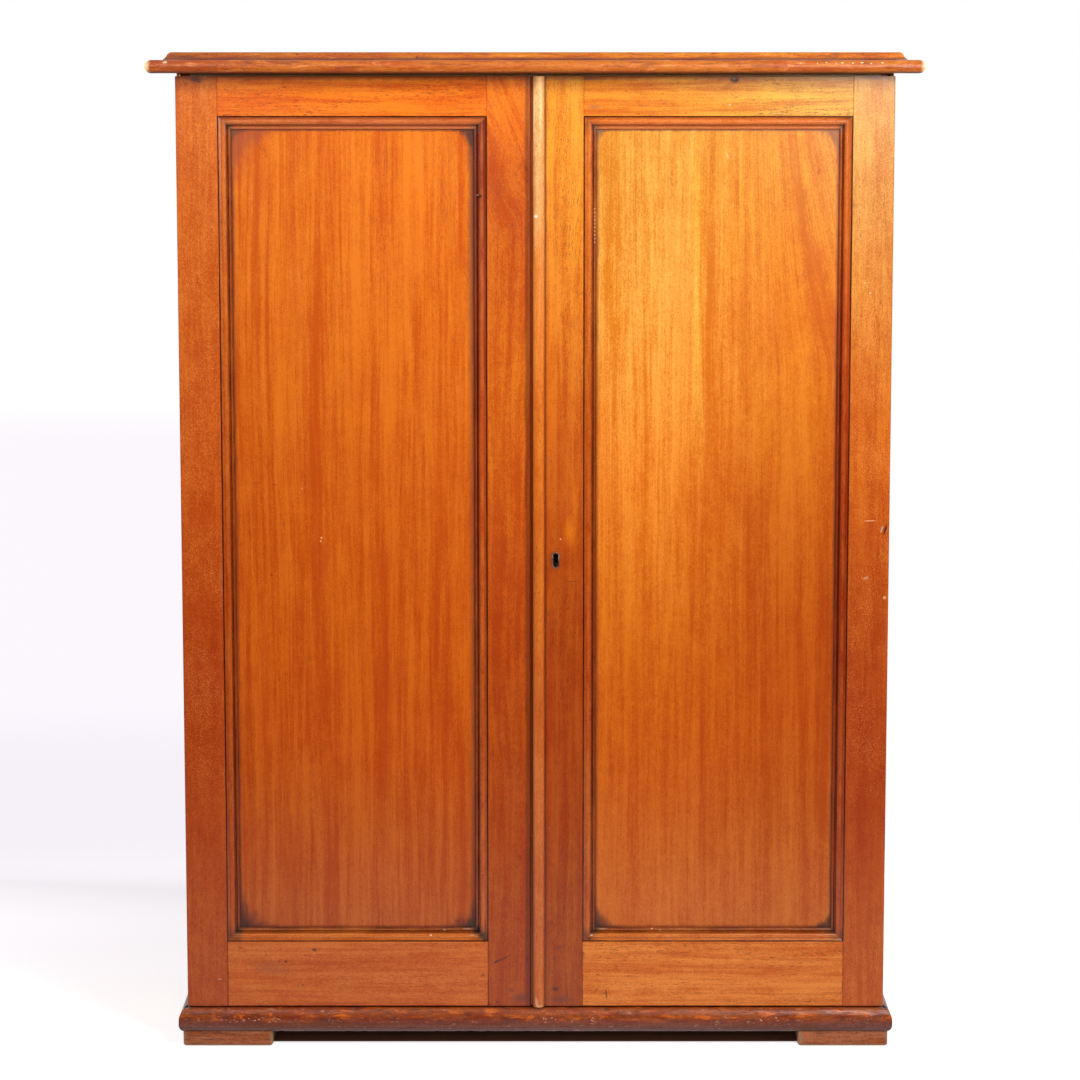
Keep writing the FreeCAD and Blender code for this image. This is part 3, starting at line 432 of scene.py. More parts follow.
# Marks by node: x, z, half width and half height in millimetres, where needed a turn in degrees and how soft
# the edge is, then colour and strength
MARKS = {}
MARKS["left_door_panel"] = (
    (-384, 844, 3.4, 1, PORE, 0.7),
    (-389, 710, 2.6, 2.6, RUST, 0.8),
    (-325, 704, 2, 2.2, RUST, 0.8),
    (-315, 765, 2, 1.6, PALE, 0.8),
    (-316, 760, 1.8, 1.6, PALE, 0.7),
    (-370, 786, 1.4, 3.6, SMOKY, 0.5),
    (-394, 824, 2.6, 2.2, RUST, 0.4),
    (-343, 838, 1.3, 1.3, PALE, 0.5),
    (-410, 846, 7, 1.4, 12, SMOKY, 0.3),
)
MARKS["left_door_meeting_stile"] = (
    (-52, 1278, 9, 22, -14, 0.8, (150, 60, 22), 0.35),
    (-51, 131, 22, 1.9, 26, 0.7, INK, 0.65),
    (-58, 128, 4.5, 2.2, 26, INK, 0.7),
    (-36, 84, 9, 3, -8, 0.8, SMOKY, 0.5),
    (-22, 72, 22, 12, 10, 0.9, (100, 48, 40), 0.7),
    (-12, 130, 3, 9, 0, 0.8, INK, 0.6),
    (-57, 66, 3, 2, INK, 0.6),
)
MARKS["right_door_meeting_stile"] = (
    (56, 702, 13, 0.8, 2, INK, 0.6),
    (24, 762, 4.5, 12, 0, 0.9, RUST, 0.55),
    (23, 735, 4, 16, 0, 0.9, (120, 44, 16), 0.5),
    (30, 86, 7.5, 5.5, -20, 0.8, INK, 0.75),
    (36, 150, 12, 4.5, 25, 0.9, SMOKY, 0.5),
    (28, 133, 3, 2.4, SMOKY, 0.7),
    (36, 70, 26, 9, 0, 0.9, (104, 52, 44), 0.6),
    (48, 78, 1.6, 10, 3, SMOKY, 0.6),
    (37, 765, 1.4, 2, PALE, 0.7),
    (50, 776, 13, 30, 0, 0.9, (226, 124, 14), 0.45),
    (58, 820, 8, 60, 0, 0.9, (216, 112, 12), 0.35),
)
MARKS["right_door_top_rail"] = (
    (288, 1434, 9.5, 6.5, 0, 0.6, INK, 0.9),
    (287, 1436, 2.6, 2.4, 0, (120, 120, 100), 0.9),
    (277, 1424, 16, 7, 30, 0.9, RUST, 0.35),
    (85, 1395, 16, 4, 0, 0.8, (150, 96, 70), 0.5),
    (60, 1436, 60, 4, 0, 0.8, SMOKY, 0.75),
    (281, 1398, 2.4, 1.2, PALE, 0.9),
)
MARKS["right_door_bottom_rail"] = (
    (106, 78, 1.8, 9.5, 6, INK, 0.65),
    (92, 85, 2.2, 1.4, INK, 0.7),
    (93, 108, 2.6, 1.6, INK, 0.6),
    (140, 106, 4, 1.2, PORE, 0.5),
    (70, 140, 4, 7, 30, INK, 0.5),
)
MARKS["left_door_bottom_rail"] = (
    (-330, 146, 5.2, 2.6, -10, INK, 0.8),
    (-373, 128, 3.2, 2.6, INK, 0.7),
    (-383, 128, 2.4, 2.2, (140, 56, 40), 0.7),
    (-440, 149, 6, 2, (150, 50, 16), 0.7),
    (-348, 92, 2.4, 1.8, INK, 0.6),
    (-395, 118, 42, 16, -6, 0.9, (150, 76, 48), 0.45),
    (-78, 108, 3, 3, INK, 0.5),
)
# Painted glints along the nose on the right, then a pale patch and dark scuffs
MARKS["top_board"] = tuple(
    (x, 1457.5 + lift, wide, 1.1, (255, 222, 170), 0.85)
    for x, lift, wide in (
        (404, 0, 1.2), (417, 1.2, 1.6), (431, -0.6, 1.1), (440, 0.8, 2.4), (455, 0.4, 1.3), (468, 1.0, 3.0),
        (481, 0, 1.4), (497, 0.9, 2.2), (380, 0.6, 0.9),
    )
) + (
    (-530, 1459, 4, 2, (250, 226, 180), 0.6),
    (150, 1459, 26, 1.6, 2, 0.9, (96, 42, 20), 0.5),
    (-190, 1462, 30, 1.4, -2, 0.9, (96, 42, 20), 0.5),
    (250, 1457, 20, 1.5, 3, 0.9, (96, 42, 20), 0.5),
)
MARKS["crown_board"] = (
    (-506, 1467, 42, 3.6, 0, 0.9, (70, 30, 14), 0.65),
    (-440, 1466, 30, 2, 0, 0.9, (96, 40, 14), 0.5),
    (-342, 1470, 3.2, 1.4, INK, 0.75),
    (-288, 1471, 2.6, 1.1, INK, 0.6),
    (-170, 1466, 3, 2.2, 20, INK, 0.8),
    (-160, 1470, 1.6, 1.6, INK, 0.7),
    (60, 1467, 40, 1.8, 0, 0.9, (96, 40, 14), 0.5),
    (330, 1466, 50, 2, 0, 0.9, (110, 44, 14), 0.5),
)
# A row of painted glints on the inner small bead, then dark dirt in the lower mitre
MARKS["right_door_moulding_meeting_side"] = tuple(
    (86.5, 1248 - 5.4 * k, 0.9, 1.3, (236, 200, 150), 0.75) for k in range(10)
) + (
    (90, 174, 4, 4.5, 0, 0.8, (50, 32, 22), 0.75),
    (82, 166, 4, 4.5, 0, 0.8, (56, 36, 24), 0.7),
)
MARKS["left_door_moulding_meeting_side"] = (
    (-81, 1266, 5, 3, 30, (46, 16, 6), 0.9),
    (-84, 1268, 2.2, 1, 30, (220, 170, 150), 0.8),
    (-87, 196, 2.6, 20, 0, 0.9, (60, 40, 26), 0.55),
    (-86, 175, 6, 8, 0, 0.8, (44, 30, 20), 0.95),
    (-79, 168, 6.5, 8, 0, 0.8, (48, 34, 22), 0.9),
    (-74, 161, 5, 6, 0, 0.8, (56, 42, 30), 0.85),
)
MARKS["left_door_moulding_bottom"] = (
    (-88, 174, 8, 6.5, 0, 0.8, (44, 30, 20), 0.95),
    (-80, 167, 8, 6, 0, 0.8, (48, 34, 22), 0.9),
    (-75, 161, 6, 4.5, 0, 0.8, (56, 42, 30), 0.85),
    # Painted glints and a painted highlight along the quirk edge
    (-102, 176, 9, 0.9, 0, 0.5, (150, 140, 122), 0.65),
    (-94, 168, 4, 0.9, 0, 0.5, (190, 180, 166), 0.7),
    (-156, 168, 2.2, 1.9, 0, 0.8, (246, 222, 200), 0.8),
    (-132, 176, 20, 0.7, 0, 0.4, (130, 96, 64), 0.5),
)
MARKS["right_door_moulding_bottom"] = (
    (90, 174, 4.5, 4, 0, 0.8, (50, 32, 22), 0.75),
    (80, 163, 4, 3.5, 0, 0.8, (56, 36, 24), 0.7),
    # Painted glints and a painted highlight along the quirk edge
    (101, 176, 9, 0.9, 0, 0.5, (150, 140, 122), 0.65),
    (84, 168, 2.6, 1.3, 0, 0.8, (246, 222, 200), 0.8),
    (174, 176, 2, 1.2, 0, 0.8, (246, 222, 200), 0.75),
)
MARKS["left_door_hinge_stile"] = (
    (-489, 1434, 14, 7, -8, 0.8, (66, 48, 36), 0.75),
    (-476, 1438, 2, 1.4, PALE, 0.9),
    (-472, 101, 4.2, 0.9, 4, (190, 150, 140), 0.8),
    (-497, 176, 3, 2, PORE, 0.4),
)
MARKS["right_door_panel"] = (
    (412, 1302, 1.6, 7, -20, RUST, 0.6),
    (279, 1324, 1.3, 6, 20, PALE, 0.6),
    (288, 1252, 1.6, 1.2, PALE, 0.7),
    (238, 1330, 9, 5, 0, 0.9, (200, 96, 60), 0.25),
)
MARKS["right_door_hinge_stile"] = (
    (486, 1438, 26, 6, -6, 0.9, (120, 70, 60), 0.6),
    (480, 1141, 2, 1.4, PALE, 0.9),
    (487, 1126, 1.6, 2, PALE, 0.9),
    (491, 792, 11, 0.9, 3, PALE, 0.7),
    (486, 707, 6, 3.4, 20, 0.8, (206, 156, 120), 0.6),
    (514, 779, 2.2, 8.5, -18, INK, 0.9),
    (509, 780, 1.6, 7, -18, (190, 160, 140), 0.7),
    (514, 678, 3, 3, PALE, 0.6),
)
MARKS["meeting_bead"] = (
    (1, 1238, 3.6, 3, 20, (250, 224, 190), 0.95),
    # Two painted highlight lines down the head of the bead
    (-1.6, 1392, 1.3, 60, 0, 0.9, (255, 232, 196), 0.65),
    (8.6, 1396, 1.3, 52, 0, 0.9, (255, 228, 186), 0.45),
    (2, 68, 3, 9, 10, (224, 160, 120), 0.7),
    (6, 62, 6, 2.4, (224, 170, 130), 0.6),
    (8, 196, 1.2, 5, 5, SMOKY, 0.4),
    (2, 172, 1.2, 7, PORE, 0.35),
)


def ragged_edge(g, seed, size=0.012, fine=60.0):
    return (g.noise(g.point(g.x * fine, g.y * fine, g.z * (fine * 0.4) + seed), 3.0) - 0.5) * size


# Patches of painted shade and old polish in the corners of the panels: side, end, reach in metres, strength
# and colour
CORNERS = {
    "left_door_panel": (
        (-1, 1, 0.060, 0.70, (146, 62, 30)),
        (-1, 1, 0.017, 0.70, (96, 52, 38)),
        (1, 1, 0.026, 0.95, (74, 38, 28)),
        (-1, -1, 0.042, 0.85, (92, 40, 26)),
        (-1, -1, 0.020, 0.80, (62, 34, 26)),
        (1, -1, 0.034, 0.85, (80, 34, 24)),
        (1, -1, 0.018, 0.85, (52, 32, 26)),
    ),
    "right_door_panel": (
        (-1, 1, 0.015, 0.80, (108, 72, 52)),
        (1, 1, 0.028, 0.75, (126, 66, 42)),
        (-1, -1, 0.030, 0.80, (88, 38, 24)),
        (-1, -1, 0.015, 0.85, (56, 32, 24)),
        (1, -1, 0.021, 0.90, (66, 36, 26)),
    ),
}


def panel_edges(name, side):
    """The left and right edge of a panel, seen from the front, and its lower and upper edge."""
    edges = (side * (OPENING_NEAR + MOULDING_WIDTH), side * (OPENING_FAR - MOULDING_WIDTH))
    return min(edges), max(edges), OPENING_LOW + MOULDING_WIDTH, OPENING_HIGH - MOULDING_WIDTH


def panel_grime(g, name, colour, side, seed):
    """A thin painted shade along the mouldings, a darker band on the left panel's meeting side, and painted
    shade with old polish in the corners.
    """
    left, right, low, high = panel_edges(name, side)
    from_edge = g.low(g.x - left, right - g.x, g.z - low, high - g.z)
    patch = g.noise(g.point(g.x * 40 + seed, 0.0, g.z * 14), 3.0)
    # A thin painted shade where the mouldings stand over the panel
    thin = g.step(0.0050, 0.0004, from_edge + ragged_edge(g, seed + 4, 0.004, 90.0))
    grime_and_shade = thin * g.clamp(patch * 0.9 + 0.35)
    colour = g.mix(grime_and_shade * 0.85, colour, (112, 42, 8))
    if side < 0:
        band = g.step(0.0115, 0.0035, right - g.x + ragged_edge(g, seed + 7, 0.007, 60.0))
        band = band * (g.step(0.9, 1.25, g.z) * 0.35 + 0.42)
        colour = g.mix(band, colour, (98, 46, 26))
        grime_and_shade = g.high(grime_and_shade, band)
    # Painted shade and old polish in the corners
    for k, (across, up, reach, strength, tone) in enumerate(CORNERS[name]):
        from_x = abs(g.x - (left if across < 0 else right))
        from_z = abs(g.z - (low if up < 0 else high))
        away = (from_x + from_z) * 0.5 + g.math("SQRT", from_x * from_z) * 0.5
        away = away + ragged_edge(g, seed + k, reach * 0.9, 70.0)
        away = away + ragged_edge(g, seed - k, reach * 0.4, 260.0)
        share = g.step(reach, reach * 0.4, away) * strength
        colour = g.mix(share, colour, tone)
        grime_and_shade = g.high(grime_and_shade, share)
    return colour, grime_and_shade


def panel_wood(name, side, seed, mean):
    g = material_graph(name)
    if side < 0:
        tone = by_height(g, mean[0])
        bend = None
    else:
        share = g.step(0.16, 0.38, g.x + (g.noise(g.point(g.x * 9, 0.0, g.z * 2.2), 2.0) - 0.5) * 0.12)
        tone = g.mix(share, by_height(g, mean[0]), by_height(g, mean[1]))
        sway = (g.noise(g.point(3.0, 0.0, g.z * 4)) - 0.5) * 0.02
        golden = g.step(0.012, 0.004, abs(g.x - 0.237 + sway)) * g.step(0.80, 1.05, g.z)
        tone = g.mix(golden * 0.45, tone, (226, 158, 44))
        bend = g.step(0.27, 0.42, g.x) * g.high(g.z - 1.02, 0.0) * 0.2
    streak, mottle = (1.2, 1.1) if side < 0 else (0.95, 1.0)
    colour, height = wood(g, GRAIN_Z, seed, tone, streak, mottle, long=2.5, wave=0.016, pore=0.25,
                          fleck=0.35, bend=bend)
    colour = worn(g, colour, seed, 0.6)
    colour = marked(g, colour, MARKS[name])
    front = g.step(PANEL_FACE + 0.003, PANEL_FACE + 0.001, g.y)
    # Painted shade and grime on the front face; they also make the polish rougher
    with_grime_and_shade, grime_and_shade = panel_grime(g, name, colour, side, seed)
    colour = g.mix(front, colour, with_grime_and_shade)
    return g.surface(colour, polish(g, GRAIN_Z, seed, 0.24, 0.12) + grime_and_shade * 0.15, height, BOARD_RELIEF)


def corner_share(g, side, reach):
    """1 in the corners of a panel opening, for the dust that gathers in the mitres."""
    from_x = g.low(abs(g.x - side * OPENING_NEAR), abs(g.x - side * OPENING_FAR))
    from_z = g.low(abs(g.z - OPENING_LOW), abs(g.z - OPENING_HIGH))
    return g.step(reach, reach * 0.25, g.high(from_x, from_z) + ragged_edge(g, 3.0, 0.016, 90.0))


def moulding_wood(name, side, upright, edge, inward, seed, mean):
    g = material_graph(name)
    grain = GRAIN_Z if upright else GRAIN_X
    colour, height = wood(g, grain, seed, by_height(g, mean), streak=0.9, mottle=1.5)
    colour = worn(g, colour, seed)
    inwards = ((g.x if upright else g.z) - edge) * inward
    patchy = grained(g, grain, 0.02, 0.045, seed + 12, 4.0, 0.6)
    # Painted shade and grime in the quirk, on the slope, in the hollows and along the inner edge; the top
    # mouldings get little of it, and their inner part is lighter
    quirk = g.step(0.0030, 0.0012, inwards) * 0.85
    slope = g.step(0.0052, 0.0036, inwards) * 0.2
    hollow = g.step(0.0104, 0.0128, inwards) * g.step(0.0160, 0.0146, inwards) * 0.70
    inner = g.step(0.0158, 0.0182, inwards) * 0.70
    small = g.step(0.0128, 0.0145, inwards) * 0.30
    grime_and_shade = g.clamp(quirk + slope + (hollow + inner + small) * (0.1 if name.endswith("top") else 0.9))
    colour = g.mix(grime_and_shade * g.clamp(patchy * 1.5 + 0.1), colour, GRIME_AND_SHADE)
    # A painted highlight along the crest of the bead
    crest_highlight = g.step(0.0032, 0.0012, abs(inwards - 0.0075)) * g.step(0.40, 0.62, patchy)
    colour = g.mix(crest_highlight * 0.2, colour, (226, 132, 62))
    if name.endswith("top"):
        colour = g.mix(g.step(0.0120, 0.0140, inwards) * 0.45, colour, (214, 124, 70))
    dusty = corner_share(g, side, 0.030) * g.step(0.0095, 0.0135, inwards)
    colour = g.mix(dusty * 0.75, colour, DUST)
    low_end = g.step(OPENING_LOW + 0.05, OPENING_LOW + 0.01, g.z)
    mitre = corner_share(g, side, 0.030) * (low_end * 0.35 + 0.35)
    colour = g.mix(mitre * g.clamp(patchy * 1.4), colour, (56, 26, 14))
    # Painted glints near the lower ends
    glint = specks(g, 0.012, 0.30, 0.0013, seed + 17, grain_stretch(grain, 0.45)) * low_end
    colour = g.mix(glint * 0.55, colour, (250, 220, 190))
    colour = marked(g, colour, MARKS.get(name, ()))
    return g.surface(colour, 0.25 + dusty * 0.3, height, MOULDING_RELIEF)


# Own meshes for the worn mouldings: sizes of the sections in millimetres, lengths between rings in metres,
# and wear as a seed, the depth of its waves and of its dents in millimetres
MOULDING_QUIRK, MOULDING_LEVEL = 1.4, 9.0
MOULDING_SLOPE, MOULDING_INNER = 11.7, 2.9
NOSE_DEPTH = 8.6
CROWN_FILLET, CROWN_OGEE_DEPTH, CROWN_OGEE_BOW = 1.0, 9.2, 0.6
PLINTH_HEEL, PLINTH_LIP, PLINTH_LIP_STEP, PLINTH_LIP_HEIGHT = 5.4, 6.8, 1.0, 1.8
PLINTH_BELLY_LOW, PLINTH_BELLY_HIGH, PLINTH_WORN_HIGH = 10.5, 16.5, 33
BEAD_SIDE = 2.0
FRONT_STEP, PLINTH_SIDE_STEP, SIDE_STEP = 0.005, 0.008, 0.012
PLINTH_WEAR = (7, 0.4, 2.2)


def arc(centre_u, centre_v, radius, start, end, count):
    """Points on a circle, between two angles in degrees."""
    points = []
    for k in range(count + 1):
        turn = math.radians(start + (end - start) * k / count)
        points.append((centre_u + radius * math.cos(turn), centre_v + radius * math.sin(turn)))
    return points


def belly(u, v, end_u, end_v, count=9):
    """Points on the arc that leaves a point straight up or down and ends inwards of it."""
    in_by, along = end_u - u, end_v - v
    radius = (in_by * in_by + along * along) / (2 * in_by)
    whole = math.asin(along / radius)
    turns = [whole * k / count for k in range(count + 1)]
    return [(u + radius * (1 - math.cos(turn)), v + radius * math.sin(turn)) for turn in turns]


def moulding_section():
    return (
        [(0, 0), (0, MOULDING_LEVEL), (MOULDING_QUIRK, MOULDING_LEVEL), (MOULDING_QUIRK, MOULDING_SLOPE)]
        + [(3.1, 11.1)]
        + arc(8.4, 7.4, 4.6, 140, -10, 14)
        + [(12.93, MOULDING_INNER)]
        + arc(16.6, 1.6, 2.6, 150, 0, 8)
        + [(19.2, 0)]
    )


def bead_section():
    radius = (BEAD_RIGHT - BEAD_LEFT) / MM / 2
    return [(0, 0)] + arc(radius, BEAD_SIDE, radius, 180, 0, 20) + [(2 * radius, 0)]


def nose_section():
    thick = (TOP_HIGH - TOP_LOW) / MM
    return belly(0, thick / 2, NOSE_DEPTH, 0)[::-1] + belly(0, thick / 2, NOSE_DEPTH, thick)[1:]


def crown_section():
    """A fillet and an ogee that falls back to the top."""
    thick = (CROWN_HIGH - TOP_HIGH) / MM
    rise = thick - CROWN_FILLET
    slope = math.hypot(CROWN_OGEE_DEPTH, rise)
    points = [(0, 0)]
    for k in range(13):
        share = k / 12
        bow = CROWN_OGEE_BOW * math.sin(share * 2 * math.pi)
        points.append(
            (
                CROWN_OGEE_DEPTH * share + bow * rise / slope,
                CROWN_FILLET + rise * share - bow * CROWN_OGEE_DEPTH / slope,
            )
        )
    return points


def plinth_section(deep):
    thick = (PLINTH_HIGH - PLINTH_LOW) / MM
    shoulder = thick - PLINTH_LIP_HEIGHT
    return (
        [(deep, 0)]
        + belly(0, PLINTH_BELLY_LOW, PLINTH_HEEL, 0)[::-1]
        + belly(0, PLINTH_BELLY_HIGH, PLINTH_LIP - PLINTH_LIP_STEP, shoulder)
        + [(PLINTH_LIP, shoulder), (PLINTH_LIP, thick), (deep, thick)]
    )


def worn_depth(place, seed, wave, dent):
    """How far an old surface lies below its true outline, in millimetres."""
    broad = noise.noise(place * 13 + Vector((seed, 0, 0)))
    close = noise.noise(place * 60 + Vector((0, seed, 0)))
    deep = max(0.0, noise.noise(place * 120 + Vector((0, 0, seed))) - 0.25)
    return wave * (0.5 + 0.35 * broad + 0.15 * close) + dent * deep


def outward(section):
    """The outward direction at each point of a section that runs clockwise round its solid."""
    found = []
    count = len(section)
    for k in range(count):
        (u0, v0), (u1, v1) = section[k - 1], section[(k + 1) % count]
        run = Vector((u1 - u0, v1 - v0)).normalized()
        found.append(Vector((-run.y, run.x)))
    return found


def finished(name, node, points, smooth, flat, material):
    """Puts a mesh in the place of a CAD node, on the node's own body."""
    mesh = bpy.data.meshes.new(name)
    mesh.from_pydata(points, [], smooth + flat)
    for index, face in enumerate(mesh.polygons):
        face.use_smooth = index < len(smooth)
    mesh.materials.append(material)
    mesh.set_sharp_from_angle(angle=math.radians(38))
    made = bpy.data.objects.new(name, mesh)
    bpy.context.scene.collection.objects.link(made)
    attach(made, nodes[node]["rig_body"])
    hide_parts(node)
    return made


def swept(node, section, shown, start, along, across, up, mitre, wear, material, step=FRONT_STEP,
          ends=2):
    """A length of a section, worn where shown and mitred at its start or at both ends."""
    direction = along.normalized()
    rings = max(2, round(along.length / step))
    away = outward(section)
    points = []
    for ring in range(rings + 1):
        for (u, v), (du, dv) in zip(section, away):
            cut = min(u, mitre) * MM
            place = start + direction * (cut + (along.length - ends * cut) * ring / rings)
            place = place + across * (u * MM) + up * (v * MM)
            if shown(u, v):
                place = place - (across * du + up * dv) * (worn_depth(place, *wear) * MM)
            points.append(place)
    count = len(section)
    smooth = []
    for ring in range(rings):
        for k in range(count):
            here, following = ring * count + k, ring * count + (k + 1) % count
            smooth.append((here, here + count, following + count, following))
    caps = [tuple(range(count)), tuple(rings * count + k for k in reversed(range(count)))]
    if along.cross(across).dot(up) < 0:
        smooth = [face[::-1] for face in smooth]
        caps = [face[::-1] for face in caps]
    return finished("worn_" + node, node, points, smooth, caps, material)


def moulded_board(node, section, proud, low, wear, material):
    """A board moulded on its front and both ends, worn along the moulding."""
    half, front = HALF_WIDTH + proud, DOOR_FACE - proud
    side_count = round((TOP_BACK - front) / SIDE_STEP)
    front_count = round(2 * half / FRONT_STEP)
    inside = 20
    away = outward([(inside, section[0][1])] + section + [(inside, section[-1][1])])[1:-1]
    points = []
    for (u, v), (du, dv) in zip(section, away):
        inset, level = u * MM, low + v * MM
        left, right, near = -half + inset, half - inset, front + inset
        for k in range(side_count):
            y = TOP_BACK + (near - TOP_BACK) * k / side_count
            points.append((Vector((left, y, level)), Vector((du, 0, dv))))
        for k in range(front_count + 1):
            x = left + (right - left) * k / front_count
            points.append((Vector((x, near, level)), Vector((0, du, dv))))
        for k in range(side_count):
            y = near + (TOP_BACK - near) * (k + 1) / side_count
            points.append((Vector((right, y, level)), Vector((-du, 0, dv))))
    places = [place - out * (worn_depth(place, *wear) * MM) for place, out in points]
    row = 2 * side_count + front_count + 1
    levels = len(section)
    smooth = []
    for k in range(levels - 1):
        for m in range(row - 1):
            here = k * row + m
            smooth.append((here, here + 1, here + row + 1, here + row))
    under = tuple(reversed(range(row)))
    over = tuple((levels - 1) * row + m for m in range(row))
    back = tuple(k * row for k in range(levels)) + tuple(k * row + row - 1 for k in reversed(range(levels)))
    return finished("worn_" + node, node, places, smooth, [under, over, back], material)


def panel_mouldings():
    section = moulding_section()

    def shown(u, v):
        return v > 0.5 and MOULDING_QUIRK <= u < 19

    front = Vector((0, -1, 0))
    width = section[-1][0]
    for word, side, seed, tones in (("left", -1, 14, LEFT_MOULDING), ("right", 1, 34, RIGHT_MOULDING)):
        near, far = side * OPENING_NEAR, side * OPENING_FAR
        low, high = OPENING_LOW, OPENING_HIGH
        lengths = {
            "meeting_side": (near, low, Vector((0, 0, high - low)), Vector((side, 0, 0))),
            "hinge_side": (far, low, Vector((0, 0, high - low)), Vector((-side, 0, 0))),
            "bottom": (near, low, Vector((far - near, 0, 0)), Vector((0, 0, 1))),
            "top": (near, high, Vector((far - near, 0, 0)), Vector((0, 0, -1))),
        }
        for k, (part, (x, z, along, across)) in enumerate(lengths.items()):
            name = word + "_door_moulding_" + part
            upright = part.endswith("side")
            inward = across.x if upright else across.z
            edge = x if upright else z
            mean = MOULDINGS.get(name, tones)
            material = moulding_wood(name, side, upright, edge, inward, seed + k, mean)
            start = Vector((x, PANEL_FACE, z))
            swept(name, section, shown, start, along, across, front, width, (seed, 0.25, 0.5), material)


def meeting_bead():
    material = plain_wood("meeting_bead", GRAIN_Z, 55, BEAD, MARKS["meeting_bead"], bead_light, streak=0.7)
    swept(
        "meeting_bead", bead_section(), lambda u, v: v > BEAD_SIDE,
        Vector((BEAD_LEFT, DOOR_FACE, DOOR_LOW)), Vector((0, 0, DOOR_HIGH - DOOR_LOW)),
        Vector((1, 0, 0)), Vector((0, -1, 0)), 0.0, (9, 0.22, 0.5), material,
    )


def meeting_strip():
    """The thin strip behind the bead that closes the gap between the doors."""
    left, right = LEFT_EDGE + 0.0004, BEAD_LEFT
    front, back = DOOR_FACE + 0.0009, DOOR_FACE + 0.004
    points = [
        (x, y, z)
        for z in (DOOR_LOW + 0.001, DOOR_HIGH - 0.001)
        for x, y in ((left, front), (right, front), (right, back), (left, back))
    ]
    faces = [(3, 2, 1, 0), (4, 5, 6, 7), (0, 1, 5, 4), (1, 2, 6, 5), (2, 3, 7, 6), (3, 0, 4, 7)]
    made = mesh_object("meeting_strip", points, faces)
    made.data.materials.append(plain_wood("meeting_strip", GRAIN_Z, 56, STRIP, streak=0.5))
    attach(made, nodes["meeting_bead"]["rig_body"])


def bead_light(g, colour):
    """Painted shade: the bead is darker against the doors on both sides."""
    low = g.step(DOOR_FACE - 0.0035, DOOR_FACE - 0.0005, g.y)
    return g.mix(low * 0.6, colour, GRIME_AND_SHADE)


def board_wood(name, seed, left, right, streak):
    """The boards at the top, with rubbed pale patches and dark scuffs, painted shade along the lower edge,
    and paler ends at the front.
    """
    g = material_graph(name)
    mean = g.mix(g.step(-HALF_WIDTH, HALF_WIDTH, g.x), left, right)
    colour, height = wood(g, GRAIN_X, seed, mean, streak=streak, mottle=1.6, pore=0.8)
    wavy = g.cloud(26, 60, 150, seed, 4.0, 0.65, 0.6)
    wavy = (wavy - 0.5) * (g.step(CROWN_HIGH - 0.0004, CROWN_HIGH - 0.002, g.z) * 0.8 + 0.2) + 0.5
    colour = g.mix(g.step(0.54, 0.66, wavy) * 0.6, colour, (110, 44, 12))
    colour = g.mix(g.step(0.44, 0.32, wavy) * 0.45, colour, (236, 150, 78))
    low = span(name, 2)[0]
    # Painted shade along the lower edge, under the nose and at the foot of the crown
    colour = g.mix(g.step(low + 0.0044, low + 0.0010, g.z) * 0.75, colour, (86, 36, 16))
    # Paler at both ends of the front
    pale_ends = g.step(HALF_WIDTH + TOP_PROUD - 0.009, HALF_WIDTH + TOP_PROUD - 0.001,
                  abs(g.x) + ragged_edge(g, seed, 0.006, 160.0))
    pale_ends = pale_ends * g.step(DOOR_FACE + 0.06, DOOR_FACE, g.y)
    colour = g.mix(pale_ends * 0.75, colour, (248, 222, 170))
    colour = worn(g, colour, seed, 0.8, 0.7)
    colour = marked(g, colour, MARKS.get(name, ()))
    dull = g.step(CROWN_HIGH - 0.0005, CROWN_HIGH - 0.0002, g.z) * 0.3
    return g.surface(colour, polish(g, GRAIN_X, seed, 0.3, 0.2) + dull, height + wavy * 0.8, TOP_RELIEF)


def plinth_wood(name, grain, seed):
    g = material_graph(name)
    share = (g.z - PLINTH_LOW) * (1 / (PLINTH_HIGH - PLINTH_LOW))
    colour, height = wood(g, grain, seed, g.ramp(share, PLINTH), streak=1.5, mottle=2.2, pore=0.7)
    scuff = g.cloud(34, 34, 120, seed, 5.0, 0.7, 0.6)
    colour = g.mix(g.step(0.53, 0.64, scuff) * 0.6, colour, (80, 36, 24))
    orange = g.step(0.47, 0.36, scuff) * g.step(0.35, 0.7, share)
    colour = g.mix(orange * 0.75, colour, (224, 108, 22))
    rubbed = g.cloud(90, 90, 300, seed, 3.0, 0.6)
    colour = g.mix(g.step(0.62, 0.72, rubbed) * 0.5, colour, (214, 150, 120))
    # Painted glints in a band along the belly
    glints = g.cloud(210, 210, 330, seed, 2.0, 0.6)
    where = g.noise(g.point(g.x * 16 + seed, g.y * 16, 1.0))
    crest_highlight = g.step(0.16, 0.06, abs(share - 0.55)) * g.step(0.5, 0.64, where)
    colour = g.mix(g.step(0.60, 0.68, glints) * crest_highlight * 0.6, colour, (250, 214, 180))
    colour = worn(g, colour, seed, 0.9, 0.8)
    dusty = g.step(0.955, 1.0, share) * g.step(HALF_WIDTH - 0.02, HALF_WIDTH + 0.004, abs(g.x))
    colour = g.mix(dusty * 0.7, colour, (96, 84, 64))
    colour = marked(g, colour, MARKS.get(name, ()))
    return g.surface(colour, polish(g, grain, seed, 0.2, 0.22), height + scuff * 1.2, PLINTH_RELIEF)


